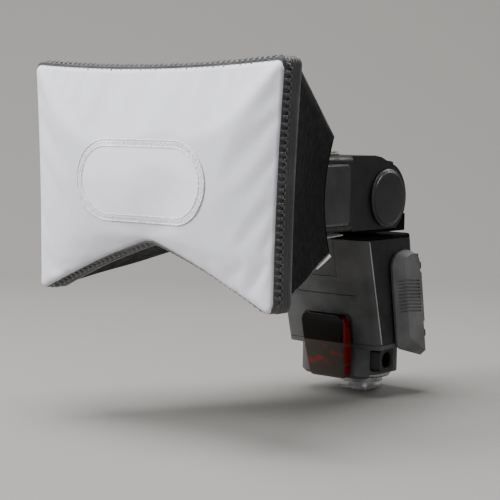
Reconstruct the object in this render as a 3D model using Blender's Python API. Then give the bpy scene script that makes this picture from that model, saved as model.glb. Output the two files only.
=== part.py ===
"""Hot-shoe flash gun wearing a folding softbox, built as an assembly of separate pieces.

All sizes are in millimetres and become metres when a mesh is made. The origin is the middle of the foot's
underside, the flash points along -Y, +Z is up and the battery door is on the +X side.
"""

from math import atan, cos, hypot, radians, sin

import bmesh
import bpy
from mathutils import Vector

MM = 0.001
GAP = 0.3  # clearance kept between pieces that touch
WALL = 1.8  # moulded wall of the body shells
BEYOND = 5.0  # how far a cutter runs past what it cuts

# Body: its front leans back and its rear leans out towards the foot
DECK_Z = 93.5
DECK_THICK = 2.0
BASE_TOP = 31.0
BODY_HALF = 32.0
FRONT_LOW_Y = -32.25
FRONT_SLOPE = 0.25
REAR_LOW_Y = 13.87
REAR_SLOPE = 0.17
FRONT_TOP_Y = FRONT_LOW_Y - FRONT_SLOPE * (DECK_Z - BASE_TOP)
REAR_TOP_Y = REAR_LOW_Y - REAR_SLOPE * (DECK_Z - BASE_TOP)
FRONT_BULGE = 2.0
FRONT_RADIUS = 3.4
REAR_RADIUS = 6.0
SEAM_DEPTH = FRONT_BULGE + FRONT_RADIUS
GROOVE_Z = 59.5
GROOVE_WIDTH = 0.7
GROOVE_DEPTH = 0.7
GROOVE_HALF = 22.0
SHELL_LOW = BASE_TOP + GAP
SHELL_HIGH = DECK_Z - DECK_THICK - GAP

# Base housing below the body
CHIN_LOW = 10.5
CHIN_REAR = -26.5
BASE_LOW = 13.2
BASE_HALF = 26.0
BASE_FRONT = -31.0
BASE_REAR = 6.0
BASE_RADIUS = 11.0
BASE_TAPER = 1.8
FLANGE_LOW = 28.3
FLANGE_LEDGE = 1.3

# Autofocus-assist window on the front, sensor window above it
AF_LOW = 10.8
AF_BREAK = 32.0
AF_HIGH = 47.5
AF_FRONTS = (-34.8, -39.6, -41.0)
AF_HALVES = (13.3, 14.8, 15.6)
AF_ROUND = 2.0
AF_HEAD = ((4.0, 0.0), (1.8, 0.7), (0.5, 2.1), (0.0, 3.8))
AF_FOOT = ((0.0, 2.2), (0.6, 0.8), (1.8, 0.0))
AF_WALL = 1.8
AF_LENS_RADIUS = 7.0
AF_LENS_Z = 38.5
SENSOR_HALF = 10.4
SENSOR_LOW = DECK_Z - 23.9

# Shoe foot
FOOT_HALF_X = 9.3
FOOT_HALF_Y = 9.0
FOOT_THICK = 2.0
BOSS_RADIUS = 8.0
CONTACT_RADIUS = 1.1
CONTACT_HIGH = 2.8
CONTACTS = {
    "contact_main": (0.0, 1.6),
    "contact_1": (-3.2, -1.8),
    "contact_2": (3.2, -1.8),
    "contact_3": (3.2, 4.6),
}
SCREW_RADIUS = 1.2
SCREW_HIGH = 1.1
SCREW_PLACE = 5.6
LOCK_RING_RADIUS = 17.0
LOCK_RING_TEETH = 36
LOCK_RING_LOW = 8.0
LOCK_RING_HIGH = BASE_LOW - 0.6
COLLAR_RADIUS = 12.5
COLLAR_LOW = 4.7
LOCK_PIN_RADIUS = 0.9
LOCK_PIN_Y = -6.2

# Power socket on the side of the base
SOCKET_Y = -18.5
SOCKET_Z = 21.8
SOCKET_HALF = 6.5
SOCKET_LIP = 1.2
SOCKET_OUT = 30.2
SOCKET_IN = 20.5
SOCKET_BORE = 4.4
SOCKET_DEPTH = 7.0
SOCKET_PIN = 0.9
SOCKET_PIN_LONG = 2.0

# Swivel: the pan axis is vertical, the tilt axis runs across
PAN_Y = (FRONT_TOP_Y + REAR_TOP_Y) / 2 - 1.685
PAN = (0.0, PAN_Y, 0.0)
SPIGOT_RADIUS = 15.0
SPIGOT_LOW = DECK_Z - 6.5
SPIGOT_GROOVE = SPIGOT_RADIUS - 2.0
RING_LOW = DECK_Z - 4.9
RING_HIGH = DECK_Z - 3.7
RING_RADIUS = SPIGOT_RADIUS + 2.5
TABLE_RADIUS = SPIGOT_RADIUS + 5.5
TABLE_HIGH = DECK_Z + 2.8
YOKE_HALF = 33.5
YOKE_FRONT = PAN_Y - 22.0
YOKE_REAR = PAN_Y + 10.7
YOKE_HIGH = DECK_Z + 12.5
TILT_Y = PAN_Y - 8.5
TILT_Z = DECK_Z + 21.5
TILT = (0.0, TILT_Y, TILT_Z)
DRUM_RADIUS = 17.5
DRUM_HALF = YOKE_HALF + 0.3
SHOULDER_FRONT = PAN_Y - 4.5
SHOULDER_HALF = YOKE_HALF + 2.8

# Tilt discs and the release button in the left one
DISC_RADIUS = 16.2
HUB_RADIUS = 8.5
RELEASE_RADIUS = 5.0
RELEASE_LONG = 3.1

# Flash head
HEAD_LOW = TILT_Z - 17.0
HEAD_HIGH = TILT_Z + 23.5
HEAD_SPLIT = TILT_Y - 33.5
HEAD_FRONT = TILT_Y - 89.5
HEAD_HALF = YOKE_HALF + 4.0
HEAD_WALL = 2.0
HEAD_FACE = 3.0
HEAD_CORNER = 3.0
WINDOW_HALF = HEAD_HALF - 4.5
WINDOW_LOW = HEAD_LOW + 4.0
WINDOW_HIGH = HEAD_HIGH - 5.9
CHEEK_OUT = YOKE_HALF + 3.0
CHEEK_RADIUS = DRUM_RADIUS + 2.1
CHEEK_END = -58.0  # angle of the cheek's rear lower corner, in degrees
CHEEK_CORNER = hypot(CHEEK_RADIUS * cos(radians(CHEEK_END)), TILT_Z - HEAD_LOW)
SHOULDER_CLEAR = max(CHEEK_RADIUS, CHEEK_CORNER) + 0.5
ROOF_OUT = DRUM_RADIUS + 3.1
ROOF_END = 73.0
DISC_OUT = CHEEK_OUT + 2.1
RELEASE_OUT = DISC_OUT + 0.5
PIVOT_HOLE = 9.0
GRIP_FRONT = HEAD_FRONT + 4.0
GRIP_REAR = HEAD_SPLIT - 3.0
GRIP_LOW = HEAD_LOW + 3.5
GRIP_HIGH = HEAD_HIGH - 4.5
GRIP_RECESS = 0.8
GRIP_PROUD = 0.5
PANEL_THICK = 1.2
PANEL_Z = HEAD_HIGH - 3.5
PANEL_HALF = WINDOW_HALF - 3.0
PANEL_LONG = 36.0
LENS_THICK = 2.4
CARRIAGE_HALF = HEAD_HALF - 13.0
CARRIAGE_FRONT = HEAD_FRONT + 19.0
CARRIAGE_REAR = CARRIAGE_FRONT + 17.0
CARRIAGE_LOW = HEAD_LOW + 6.0
CARRIAGE_HIGH = HEAD_HIGH - 7.5
CARRIAGE_WALL = 1.5
TUBE_RADIUS = 2.2
TUBE_Y = CARRIAGE_REAR - 6.5
TUBE_HALF = CARRIAGE_HALF + 2.5
SCREW_X = HEAD_HALF - 8.7
SCREW_Z = HEAD_LOW + 10.0
LEAD_RADIUS = 1.5
MOTOR_RADIUS = 6.0
MOTOR_FRONT = CARRIAGE_REAR + 2.0
MOTOR_REAR = HEAD_SPLIT - 3.0
STRIP_HALF = HEAD_HALF - 7.5
STRIP_FRONT = HEAD_SPLIT - 27.0
STRIP_REAR = HEAD_SPLIT - 2.5
STRIP_THICK = 2.2

# Rear controls, in the frame of the leaning rear face (x across, y out of the face, z up along it)
LEAN = atan(REAR_SLOPE)
LCD_HALF = 19.0
LCD_LOW = -34.5
LCD_HIGH = -8.5
BUTTON_RADIUS = 3.0
BUTTON_Z = -42.6
BUTTON_PITCH = 10.5
BUTTON_PROUD = 1.2
LOW_ROW_Z = -54.5
PILOT_X = -12.0
PILOT_HALF = (5.0, 2.8)
SWITCH_X = 11.0
SWITCH_TRAVEL = 4.0
SWITCH_HALF = (2.0, 1.7)
FLANGE_NEAR = -2.3
FLANGE_FAR = -3.4

# Battery door, its opening and its hinge, in the same frame
DOOR_FRONT = -26.8
DOOR_REAR = -4.1
DOOR_TOP = -7.0
DOOR_BOTTOM = -67.0
DOOR_IN = BODY_HALF + 0.4
DOOR_OUT = DOOR_IN + 5.6
DOOR_WALL = 2.0
DOOR_ARCH = 8.5
DOOR_BEVEL = 3.0
DOOR_SIDE = 1.4
DOOR_FACET = 6.6
DOOR_INSET = 2.2
DOOR_LOW_FRONT = DOOR_BOTTOM + 4.0
DOOR_LOW_REAR = DOOR_BOTTOM - 5.0
RIB_COUNT = 10
RIB_PITCH = 2.0
RIB_TOP = -22.0
RIB_DEPTH = 0.6
RIB_MARGIN = 2.4
RIB_SLANT = 0.27
HINGE_X = DOOR_IN + 1.2
HINGE_Y = -1.2
HINGE_PIN_RADIUS = 1.2
KNUCKLE_RADIUS = 2.4
KNUCKLE = (-52.0, -23.0)
LUGS = ((-61.0, -57.5), (-20.5, -17.0))
HINGE_PIN = (-63.0, -12.0)

# Inside the body, in the same frame
CELL_RADIUS = 7.1
CELL_LOW = -55.5
CELL_HIGH = -5.0
CELL_GAP = 0.4
CELL_X = (1.1 + CELL_RADIUS, 1.1 + CELL_GAP + 3 * CELL_RADIUS)
CELL_Y = (-5.8 - CELL_RADIUS, -5.8 - CELL_GAP - 3 * CELL_RADIUS)
CAPACITOR_RADIUS = 13.0
CAPACITOR_X = -15.5
CAPACITOR_Y = -20.0
CAPACITOR_HIGH = (-56.0, -10.0)
BOARD_Y = -37.4
BOARD_THICK = 1.2
BOARD_HALF = 27.0
BOARD_HIGH = (-50.0, -9.0)
PLATE_THICK = 0.8

# Softbox: outlines of its mouth and of the end that grips the head
MOUTH_HALF = 81.3
MOUTH_LOW_HALF = MOUTH_HALF - 4.0
MOUTH_TOP = TILT_Z + 70.0
MOUTH_LOW = TILT_Z - 49.0
MOUTH_APEX = HEAD_LOW - 1.2
MOUTH_Y = HEAD_FRONT - 50.0
FACE_Y = MOUTH_Y - 13.0
RIM_THICK = 2.0
CLOTH = 1.4
CLOTH_MARGIN = 1.7
GRIP_TOP_CORNER = (HEAD_HALF + 2.5, HEAD_SPLIT - 23.0, HEAD_HIGH + 10.0)
GRIP_LOW_CORNER = (HEAD_HALF + 6.7, HEAD_SPLIT - 31.0, HEAD_LOW - 9.5)
DIFFUSER_THICK = 1.2
PATCH_HALF = 42.0
PATCH_LOW = TILT_Z - 9.0
PATCH_HIGH = TILT_Z + 31.3
PATCH_THICK = 0.8
FLAP_HALF = 27.0
FLAP_REAR = HEAD_SPLIT + 5.0
FLAP_Z = HEAD_LOW - 2.8

PLASTIC_DARK = ((0.012, 0.012, 0.013), 0.55, 0.0)
PLASTIC_CHARCOAL = ((0.055, 0.055, 0.056), 0.6, 0.0)
PLASTIC_GREY = ((0.14, 0.14, 0.14), 0.5, 0.0)
RUBBER = ((0.03, 0.03, 0.03), 0.8, 0.0)
RED_WINDOW = ((0.12, 0.01, 0.012), 0.12, 0.0)
DARK_WINDOW = ((0.01, 0.008, 0.01), 0.1, 0.0)
CLEAR = ((0.75, 0.78, 0.8), 0.08, 0.0)
STEEL = ((0.6, 0.6, 0.6), 0.3, 1.0)
BRASS = ((0.7, 0.55, 0.25), 0.3, 1.0)
BOARD_GREEN = ((0.02, 0.12, 0.05), 0.5, 0.0)
CELL_SLEEVE = ((0.05, 0.09, 0.2), 0.35, 0.2)
VINYL = ((0.02, 0.02, 0.023), 0.45, 0.0)
DIFFUSER_CLOTH = ((0.75, 0.75, 0.8), 0.9, 0.0)
WHITE_CLOTH = ((0.7, 0.7, 0.7), 0.9, 0.0)
LOOP_PILE = ((0.2, 0.19, 0.17), 0.95, 0.0)

PLACES = {
    "x": lambda u, v, w: (w, u, v),
    "y": lambda u, v, w: (u, w, v),
    "z": lambda u, v, w: (u, v, w),
}


def clear_scene():
    """Remove whatever objects the file opened with."""
    for thing in list(bpy.data.objects):
        bpy.data.objects.remove(thing, do_unlink=True)


def arc(across, up, radius, start, end, steps=5):
    """Points of an arc from the start angle to the end angle, in degrees."""
    angles = [radians(start + (end - start) * i / (steps - 1)) for i in range(steps)]
    return [(across + radius * cos(a), up + radius * sin(a)) for a in angles]


def rounded(low_u, high_u, low_v, high_v, radius, steps=4):
    """Outline of a rectangle with round corners."""
    corners = (
        (high_u - radius, high_v - radius, 0),
        (low_u + radius, high_v - radius, 90),
        (low_u + radius, low_v + radius, 180),
        (high_u - radius, low_v + radius, 270),
    )
    return [point for u, v, turn in corners for point in arc(u, v, radius, turn, turn + 90, steps)]


def lofted(name, rings, frame=None, origin=(0.0, 0.0, 0.0), hollow=False):
    """Closed solid through rings of points; a hollow one joins its last ring to its first."""
    model = bmesh.new()
    start = Vector(origin)
    loops = [[model.verts.new((Vector(point) - start) * MM) for point in ring] for ring in rings]
    following = loops[1:] + loops[:1] if hollow else loops[1:]
    for low, high in zip(loops, following):
        for i, vert in enumerate(low):
            j = (i + 1) % len(low)
            model.faces.new((vert, low[j], high[j], high[i]))
    if not hollow:
        model.faces.new(loops[0])
        model.faces.new(loops[-1])
    bmesh.ops.recalc_face_normals(model, faces=model.faces)
    mesh = bpy.data.meshes.new(name)
    model.to_mesh(mesh)
    model.free()
    mesh.shade_smooth()
    mesh.set_sharp_from_angle(angle=radians(35))
    piece = bpy.data.objects.new(name, mesh)
    bpy.context.scene.collection.objects.link(piece)
    piece.parent = frame
    piece.location = start * MM
    return piece


def prism(name, outline, axis, low, high, **place):
    """Outline drawn out along an axis: (y, z) along x, (x, z) along y or (x, y) along z."""
    put = PLACES[axis]
    return lofted(name, [[put(u, v, w) for u, v in outline] for w in (low, high)], **place)


def block(name, x, y, z, **place):
    """Box between pairs of limits."""
    outline = [(x[0], y[0]), (x[1], y[0]), (x[1], y[1]), (x[0], y[1])]
    return prism(name, outline, "z", z[0], z[1], **place)


def turned(name, profile, centre, axis, sides=28, ring=False, **place):
    """Solid of revolution through (radius, height) points about an axis through centre (u, v)."""
    put = PLACES[axis]
    rings = []
    for radius, height in profile:
        circle = [(360.0 * i / sides) for i in range(sides)]
        points = [
            (centre[0] + radius * cos(radians(a)), centre[1] + radius * sin(radians(a))) for a in circle
        ]
        rings.append([put(u, v, height) for u, v in points])
    return lofted(name, rings, hollow=ring, **place)


def rod(name, radius, centre, axis, low, high, sides=20, **place):
    """Plain cylinder."""
    return turned(name, [(radius, low), (radius, high)], centre, axis, sides, **place)


def shaped(piece, operation, tool):
    """Shape a piece with another solid, which then only guides."""
    change = piece.modifiers.new(tool.name, "BOOLEAN")
    change.operation = operation
    change.object = tool
    change.solver = "EXACT"
    tool.hide_render = True
    tool.display_type = "WIRE"
    return piece


def cut(piece, *tools):
    """Take the tools' volumes out of a piece."""
    for tool in tools:
        shaped(piece, "DIFFERENCE", tool)
    return piece


def join(piece, *tools):
    """Add the tools' volumes to a piece."""
    for tool in tools:
        shaped(piece, "UNION", tool)
    return piece


def finish(piece, surface):
    """Give a piece its own material."""
    colour, roughness, metallic = surface
    material = bpy.data.materials.new(piece.name)
    material.use_nodes = True
    shader = material.node_tree.nodes["Principled BSDF"]
    shader.inputs["Base Color"].default_value = (*colour, 1.0)
    shader.inputs["Roughness"].default_value = roughness
    shader.inputs["Metallic"].default_value = metallic
    piece.data.materials.append(material)
    return piece


def front_y(z):
    """Foremost line of the body at a height."""
    return FRONT_LOW_Y - FRONT_SLOPE * (z - BASE_TOP)


def rear_y(z):
    """Rear face of the body at a height."""
    return REAR_LOW_Y - REAR_SLOPE * (z - BASE_TOP)


def front_bow(x, z):
    """Bowed front face at a place across the body."""
    flat = BODY_HALF - FRONT_RADIUS
    return front_y(z) + FRONT_BULGE * (x / flat) ** 2


def front_line(z, inset):
    """Outline from the right seam round the front to the left seam."""
    flat = BODY_HALF - FRONT_RADIUS
    radius = FRONT_RADIUS - inset
    seam = front_y(z) + SEAM_DEPTH
    steps = 8
    bow = [flat * (1 - 2 * i / steps) for i in range(1, steps)]
    right = arc(flat, seam, radius, 0, -90)
    left = arc(-flat, seam, radius, -90, -180)
    return right + [(x, front_bow(x, z) + inset) for x in bow] + left


def rear_line(z, inset, start=0.0):
    """Outline from the left seam round the rear to the right seam."""
    half = BODY_HALF - inset
    seam = front_y(z) + SEAM_DEPTH + start
    radius = REAR_RADIUS - inset
    centre = BODY_HALF - REAR_RADIUS
    back = rear_y(z) - REAR_RADIUS
    left = arc(-centre, back, radius, 180, 90)
    right = arc(centre, back, radius, 90, 0)
    return [(-half, seam)] + left + right + [(half, seam)]


def body_ring(z, inset):
    """Whole outline of the body at a height."""
    outline = front_line(z, inset) + rear_line(z, inset)[1:-1]
    return [(x, y, z) for x, y in outline]


def shell_ring(line, z, **extra):
    """Outline of an open shell's wall at a height."""
    outline = line(z, 0.0, **extra) + line(z, WALL, **extra)[::-1]
    return [(x, y, z) for x, y in outline]


def make_front_shell():
    """Front cover of the body with its sensor notch, light hole and seam groove."""
    shell = lofted("front_shell", [shell_ring(front_line, z) for z in (SHELL_LOW, SHELL_HIGH)])
    back = FRONT_TOP_Y + SEAM_DEPTH + BEYOND
    notch = block(
        "notch_sensor", (-SENSOR_HALF, SENSOR_HALF), (FRONT_TOP_Y - BEYOND, back), (SENSOR_LOW, DECK_Z)
    )
    hole = rod("hole_af_beam", AF_LENS_RADIUS + GAP, (0.0, AF_LENS_Z), "y", FRONT_TOP_Y, BASE_FRONT + BEYOND)
    groove_rings = []
    for z in (GROOVE_Z - GROOVE_WIDTH / 2, GROOVE_Z + GROOVE_WIDTH / 2):
        outline = front_line(z, -1.0) + front_line(z, GROOVE_DEPTH)[::-1]
        groove_rings.append([(x, y, z) for x, y in outline if abs(x) < GROOVE_HALF])
    finish(cut(shell, notch, hole, lofted("groove_front", groove_rings)), PLASTIC_CHARCOAL)


def make_sensor_window():
    """Dark window that follows the bowed front and fills the notch in the front cover."""
    half = SENSOR_HALF - GAP
    steps = 6
    across = [half * (2 * i / steps - 1) for i in range(steps + 1)]
    rings = []
    for z in (SENSOR_LOW + GAP, SHELL_HIGH):
        outer = [(x, front_bow(x, z) + 0.2, z) for x in across]
        inner = [(x, front_bow(x, z) + 0.2 + WALL, z) for x in reversed(across)]
        rings.append(outer + inner)
    finish(lofted("sensor_window", rings), DARK_WINDOW)


def rear_box(name, x, y, z, frame):
    """Box in the frame of the leaning rear face."""
    return block(name, x, y, z, frame=frame)


def make_rear_shell(frame):
    """Rear and side cover with the openings for display, controls and cells, and the hinge lugs."""
    rings = [shell_ring(rear_line, z, start=GAP) for z in (SHELL_LOW, SHELL_HIGH)]
    shell = lofted("rear_shell", rings)
    through = (-BEYOND, BEYOND)
    lug = arc(HINGE_X, HINGE_Y, KNUCKLE_RADIUS, -155, 155, 16)
    root = BODY_HALF - REAR_RADIUS
    lug += [(root, HINGE_Y + 1.0), (root, HINGE_Y - 1.0)]
    for i, (low, high) in enumerate(LUGS):
        join(shell, prism(f"lug_{i}", lug, "z", low, high, frame=frame))
    cut(shell, rear_box("opening_lcd", (-LCD_HALF, LCD_HALF), through, (LCD_LOW, LCD_HIGH), frame))
    for i in range(4):
        place = (BUTTON_PITCH * (i - 1.5), BUTTON_Z)
        cut(shell, rod(f"hole_button_{i}", BUTTON_RADIUS + GAP, place, "y", *through, frame=frame))
    wide, high = (half + GAP for half in PILOT_HALF)
    outline = rounded(PILOT_X - wide, PILOT_X + wide, LOW_ROW_Z - high, LOW_ROW_Z + high, 2.0)
    cut(shell, prism("hole_pilot", outline, "y", *through, frame=frame))
    wide, high = (half + GAP for half in SWITCH_HALF)
    slot = (SWITCH_X - wide, SWITCH_X + SWITCH_TRAVEL + wide)
    cut(shell, rear_box("slot_switch", slot, through, (LOW_ROW_Z - high, LOW_ROW_Z + high), frame))
    side = (BODY_HALF - WALL - 1.0, BODY_HALF + 1.0)
    cells = (DOOR_FRONT + DOOR_WALL + 1.0, DOOR_REAR - DOOR_WALL - 1.0)
    cut(shell, rear_box("opening_cells", side, cells, (DOOR_BOTTOM + 8.0, DOOR_TOP - 9.0), frame))
    bore = HINGE_PIN_RADIUS + GAP
    cut(shell, rod("bore_lugs", bore, (HINGE_X, HINGE_Y), "z", DOOR_BOTTOM, DOOR_TOP, frame=frame))
    finish(shell, PLASTIC_DARK)


def make_top_deck():
    """Deck that closes the body and carries the swivel."""
    low = DECK_Z - DECK_THICK
    rings = [body_ring(low, 0.0), body_ring(DECK_Z - 0.7, 0.0), body_ring(DECK_Z, 0.7)]
    hole = rod("hole_spigot", SPIGOT_RADIUS + GAP, PAN[:2], "z", low - BEYOND, DECK_Z + BEYOND, 36)
    finish(cut(lofted("top_deck", rings), hole), PLASTIC_DARK)


def base_ring(z, inset):
    """Outline of the base housing at a height."""
    radius = BASE_RADIUS - inset
    half = BASE_HALF - inset
    outline = rounded(-half, half, BASE_FRONT + inset, BASE_REAR - inset, radius, 6)
    return [(x, y, z) for x, y in outline]


def make_base_housing():
    """Hollow lower housing with a flange that meets the body shells."""
    housing = lofted(
        "base_housing",
        [
            base_ring(CHIN_LOW, BASE_TAPER),
            base_ring(CHIN_LOW + BASE_TAPER, 0.0),
            base_ring(FLANGE_LOW + 1.0, 0.0),
        ],
    )
    reach = BASE_HALF + BEYOND
    behind = (CHIN_REAR, BASE_REAR + BEYOND)
    ring_room = block("room_ring", (-reach, reach), behind, (CHIN_LOW - BEYOND, BASE_LOW))
    flange = lofted("flange", [body_ring(FLANGE_LOW, 0.0), body_ring(BASE_TOP, 0.0)])
    hollow = [base_ring(z, WALL) for z in (BASE_LOW + WALL, BASE_TOP + BEYOND)]
    ledge = [body_ring(z, WALL) for z in (FLANGE_LOW + FLANGE_LEDGE, BASE_TOP + BEYOND)]
    join(housing, flange)
    cut(housing, ring_room, lofted("hollow_base", hollow), lofted("hollow_flange", ledge))
    room = SOCKET_HALF + GAP
    front = SOCKET_Y - room - SOCKET_LIP
    outline = rounded(front, SOCKET_Y + room, SOCKET_Z - room, SOCKET_Z + room, 2.6)
    cut(housing, prism("room_socket", outline, "x", SOCKET_IN - GAP, BODY_HALF + BEYOND))
    finish(housing, PLASTIC_DARK)


def af_ring(z, half, front, back):
    """Outline of the autofocus-assist window at a height."""
    right = arc(half - AF_ROUND, front + AF_ROUND, AF_ROUND, 0, -90, 4)
    left = arc(-half + AF_ROUND, front + AF_ROUND, AF_ROUND, -90, -180, 4)
    return [(x, y, z) for x, y in [(half, back)] + right + left + [(-half, back)]]


def make_af_window():
    """Red window in two facets on the lower front, hollow behind, and the lens behind it."""
    step = FLANGE_LOW - GAP
    share = (step - AF_LOW) / (AF_BREAK - AF_LOW)
    step_front = AF_FRONTS[0] + (AF_FRONTS[1] - AF_FRONTS[0]) * share
    step_half = AF_HALVES[0] + (AF_HALVES[1] - AF_HALVES[0]) * share
    stations = [
        (AF_LOW + up, AF_HALVES[0] - inset, AF_FRONTS[0], BASE_FRONT - GAP) for up, inset in AF_FOOT
    ]
    stations += [
        (step - 0.1, step_half, step_front, BASE_FRONT - GAP),
        (step, step_half, step_front, front_y(step) - GAP),
        (AF_BREAK, AF_HALVES[1], AF_FRONTS[1], front_y(AF_BREAK) - GAP),
    ]
    for down, inset in AF_HEAD:
        level = AF_HIGH - down
        stations.append((level, AF_HALVES[2] - inset, AF_FRONTS[2], front_y(level) - GAP))
    window = lofted("af_window", [af_ring(*station) for station in stations])
    narrow = AF_HALVES[2] - AF_WALL - AF_HEAD[1][1]
    pocket = (
        (AF_LOW + AF_WALL, AF_HALVES[0] - AF_WALL, AF_FRONTS[0] + AF_WALL, BASE_FRONT + BEYOND),
        (AF_BREAK, AF_HALVES[1] - AF_WALL, AF_FRONTS[1] + AF_WALL, BASE_FRONT + BEYOND),
        (AF_HIGH - AF_WALL, narrow, AF_FRONTS[2] + AF_WALL, BASE_FRONT + BEYOND),
    )
    finish(cut(window, lofted("pocket_af", [af_ring(*station) for station in pocket])), RED_WINDOW)
    near = AF_FRONTS[1] + AF_WALL + GAP
    lens = [(AF_LENS_RADIUS - 3.0, near + 0.2), (AF_LENS_RADIUS, near + 2.6), (AF_LENS_RADIUS, near + 9.0)]
    finish(turned("af_beam_lens", lens, (0.0, AF_LENS_Z), "y", 24), CLEAR)


def make_foot():
    """Shoe foot with its contacts, screws, locking pin and locking ring."""
    outline = rounded(-FOOT_HALF_X, FOOT_HALF_X, -FOOT_HALF_Y, FOOT_HALF_Y, 1.5)
    plate = prism("foot_plate", outline, "z", 0.0, FOOT_THICK)
    join(plate, rod("boss", BOSS_RADIUS, (0.0, 0.0), "z", FOOT_THICK / 2, BASE_LOW - GAP, 32))
    for name, place in CONTACTS.items():
        cut(plate, rod(f"hole_{name}", CONTACT_RADIUS + GAP, place, "z", -BEYOND, CONTACT_HIGH + GAP, 12))
        contact = [(CONTACT_RADIUS, 0.1), (CONTACT_RADIUS, CONTACT_HIGH)]
        finish(turned(name, contact, place, "z", 12), BRASS)
    for i, (side, end) in enumerate(((-1, -1), (1, -1), (1, 1), (-1, 1)), 1):
        place = (SCREW_PLACE * side, SCREW_PLACE * end)
        bore = SCREW_RADIUS + GAP
        cut(plate, rod(f"hole_foot_screw_{i}", bore, place, "z", -BEYOND, SCREW_HIGH + GAP, 14))
        finish(rod(f"foot_screw_{i}", SCREW_RADIUS, place, "z", 0.1, SCREW_HIGH, 14), STEEL)
    place = (0.0, LOCK_PIN_Y)
    hole = rod("hole_lock_pin", LOCK_PIN_RADIUS + GAP, place, "z", -BEYOND, BASE_LOW, 14)
    finish(cut(plate, hole), STEEL)
    origin = (*place, 0.0)
    finish(rod("lock_pin", LOCK_PIN_RADIUS, place, "z", GAP, BASE_LOW - 1.0, 14, origin=origin), STEEL)
    steps = LOCK_RING_TEETH * 2
    edge = 0.8
    levels = (LOCK_RING_LOW, LOCK_RING_LOW + edge, LOCK_RING_HIGH - edge, LOCK_RING_HIGH)
    knurl = []
    for z, reach in zip(levels, (-edge, 0.0, 0.0, -edge)):
        ring = []
        for i in range(steps):
            radius = LOCK_RING_RADIUS + reach - 0.5 * (i % 2)
            ring.append((radius * cos(radians(360 * i / steps)), radius * sin(radians(360 * i / steps)), z))
        knurl.append(ring)
    bore = rod("bore_lock_ring", BOSS_RADIUS + GAP, (0.0, 0.0), "z", 0.0, BASE_LOW, 32)
    collar = rod("collar", COLLAR_RADIUS, (0.0, 0.0), "z", COLLAR_LOW, LOCK_RING_LOW + edge, 36)
    finish(cut(join(lofted("lock_ring", knurl), collar), bore), STEEL)


def make_power_socket():
    """Socket block in the side of the base, with a round well and a contact pin."""
    front = SOCKET_Y - SOCKET_HALF - SOCKET_LIP
    outer = rounded(front, SOCKET_Y + SOCKET_HALF, SOCKET_Z - SOCKET_HALF, SOCKET_Z + SOCKET_HALF, 2.3)
    socket = prism("power_socket", outer, "x", SOCKET_IN, SOCKET_OUT)
    floor = SOCKET_OUT - SOCKET_DEPTH
    well = turned(
        "well_socket",
        [(SOCKET_BORE, floor), (SOCKET_BORE, SOCKET_OUT - 0.8), (SOCKET_BORE + 1.8, SOCKET_OUT + 1.0)],
        (SOCKET_Y, SOCKET_Z),
        "x",
        24,
    )
    pin = rod("pin_socket", SOCKET_PIN, (SOCKET_Y, SOCKET_Z), "x", floor - 1.0, floor + SOCKET_PIN_LONG, 12)
    finish(join(cut(socket, well), pin), PLASTIC_DARK)


def make_swivel():
    """Swivel base in one piece, its retaining ring, the tilt discs and the release button."""
    groove_low = RING_LOW - GAP
    groove_high = RING_HIGH + GAP
    table_low = DECK_Z + GAP
    profile = [
        (SPIGOT_RADIUS - 1.0, SPIGOT_LOW),
        (SPIGOT_RADIUS, SPIGOT_LOW + 0.6),
        (SPIGOT_RADIUS, groove_low),
        (SPIGOT_GROOVE, groove_low),
        (SPIGOT_GROOVE, groove_high),
        (SPIGOT_RADIUS, groove_high),
        (SPIGOT_RADIUS, table_low),
        (TABLE_RADIUS, table_low),
        (TABLE_RADIUS, TABLE_HIGH),
    ]
    swivel = turned("swivel_base", profile, PAN[:2], "z", 36, origin=PAN)
    yoke = block("yoke", (-YOKE_HALF, YOKE_HALF), (YOKE_FRONT, YOKE_REAR), (TABLE_HIGH - 0.4, YOKE_HIGH))
    drum = rod("drum", DRUM_RADIUS, TILT[1:], "x", -DRUM_HALF, DRUM_HALF, 40)
    join(swivel, yoke, drum)
    for name, side in (("right", 1), ("left", -1)):
        across = sorted((side * (YOKE_HALF - 1.0), side * SHOULDER_HALF))
        high = (TABLE_HIGH, YOKE_HIGH - 0.2)
        shoulder = block(f"shoulder_{name}", across, (SHOULDER_FRONT, YOKE_REAR), high)
        reach = sorted((side * (DRUM_HALF - 0.1), side * (SHOULDER_HALF + BEYOND)))
        clear = rod(f"clear_{name}", SHOULDER_CLEAR, TILT[1:], "x", *reach, 40)
        join(swivel, cut(shoulder, clear))
    finish(swivel, PLASTIC_DARK)
    inner = SPIGOT_GROOVE + GAP
    section = [(inner, RING_LOW), (RING_RADIUS, RING_LOW), (RING_RADIUS, RING_HIGH), (inner, RING_HIGH)]
    finish(turned("pan_retaining_ring", section, PAN[:2], "z", 32, ring=True, origin=PAN), STEEL)
    hub_in = DRUM_HALF + GAP
    disc_in = CHEEK_OUT + GAP
    for name, side in (("right", 1), ("left", -1)):
        profile = [
            (HUB_RADIUS, side * hub_in),
            (HUB_RADIUS, side * disc_in),
            (DISC_RADIUS, side * disc_in),
            (DISC_RADIUS, side * (DISC_OUT - 0.8)),
            (DISC_RADIUS - 0.8, side * DISC_OUT),
        ]
        disc = turned(f"tilt_disc_{name}", profile, TILT[1:], "x", 36, origin=TILT)
        if side < 0:
            reach = (-DISC_OUT - BEYOND, -hub_in + BEYOND)
            cut(disc, rod("bore_release", RELEASE_RADIUS + GAP, TILT[1:], "x", *reach, 28))
        finish(disc, PLASTIC_DARK)
    profile = [
        (RELEASE_RADIUS, -RELEASE_OUT + RELEASE_LONG),
        (RELEASE_RADIUS, -RELEASE_OUT + 0.5),
        (RELEASE_RADIUS - 0.5, -RELEASE_OUT),
    ]
    finish(turned("tilt_release_button", profile, TILT[1:], "x", 28, origin=TILT), PLASTIC_GREY)


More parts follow.
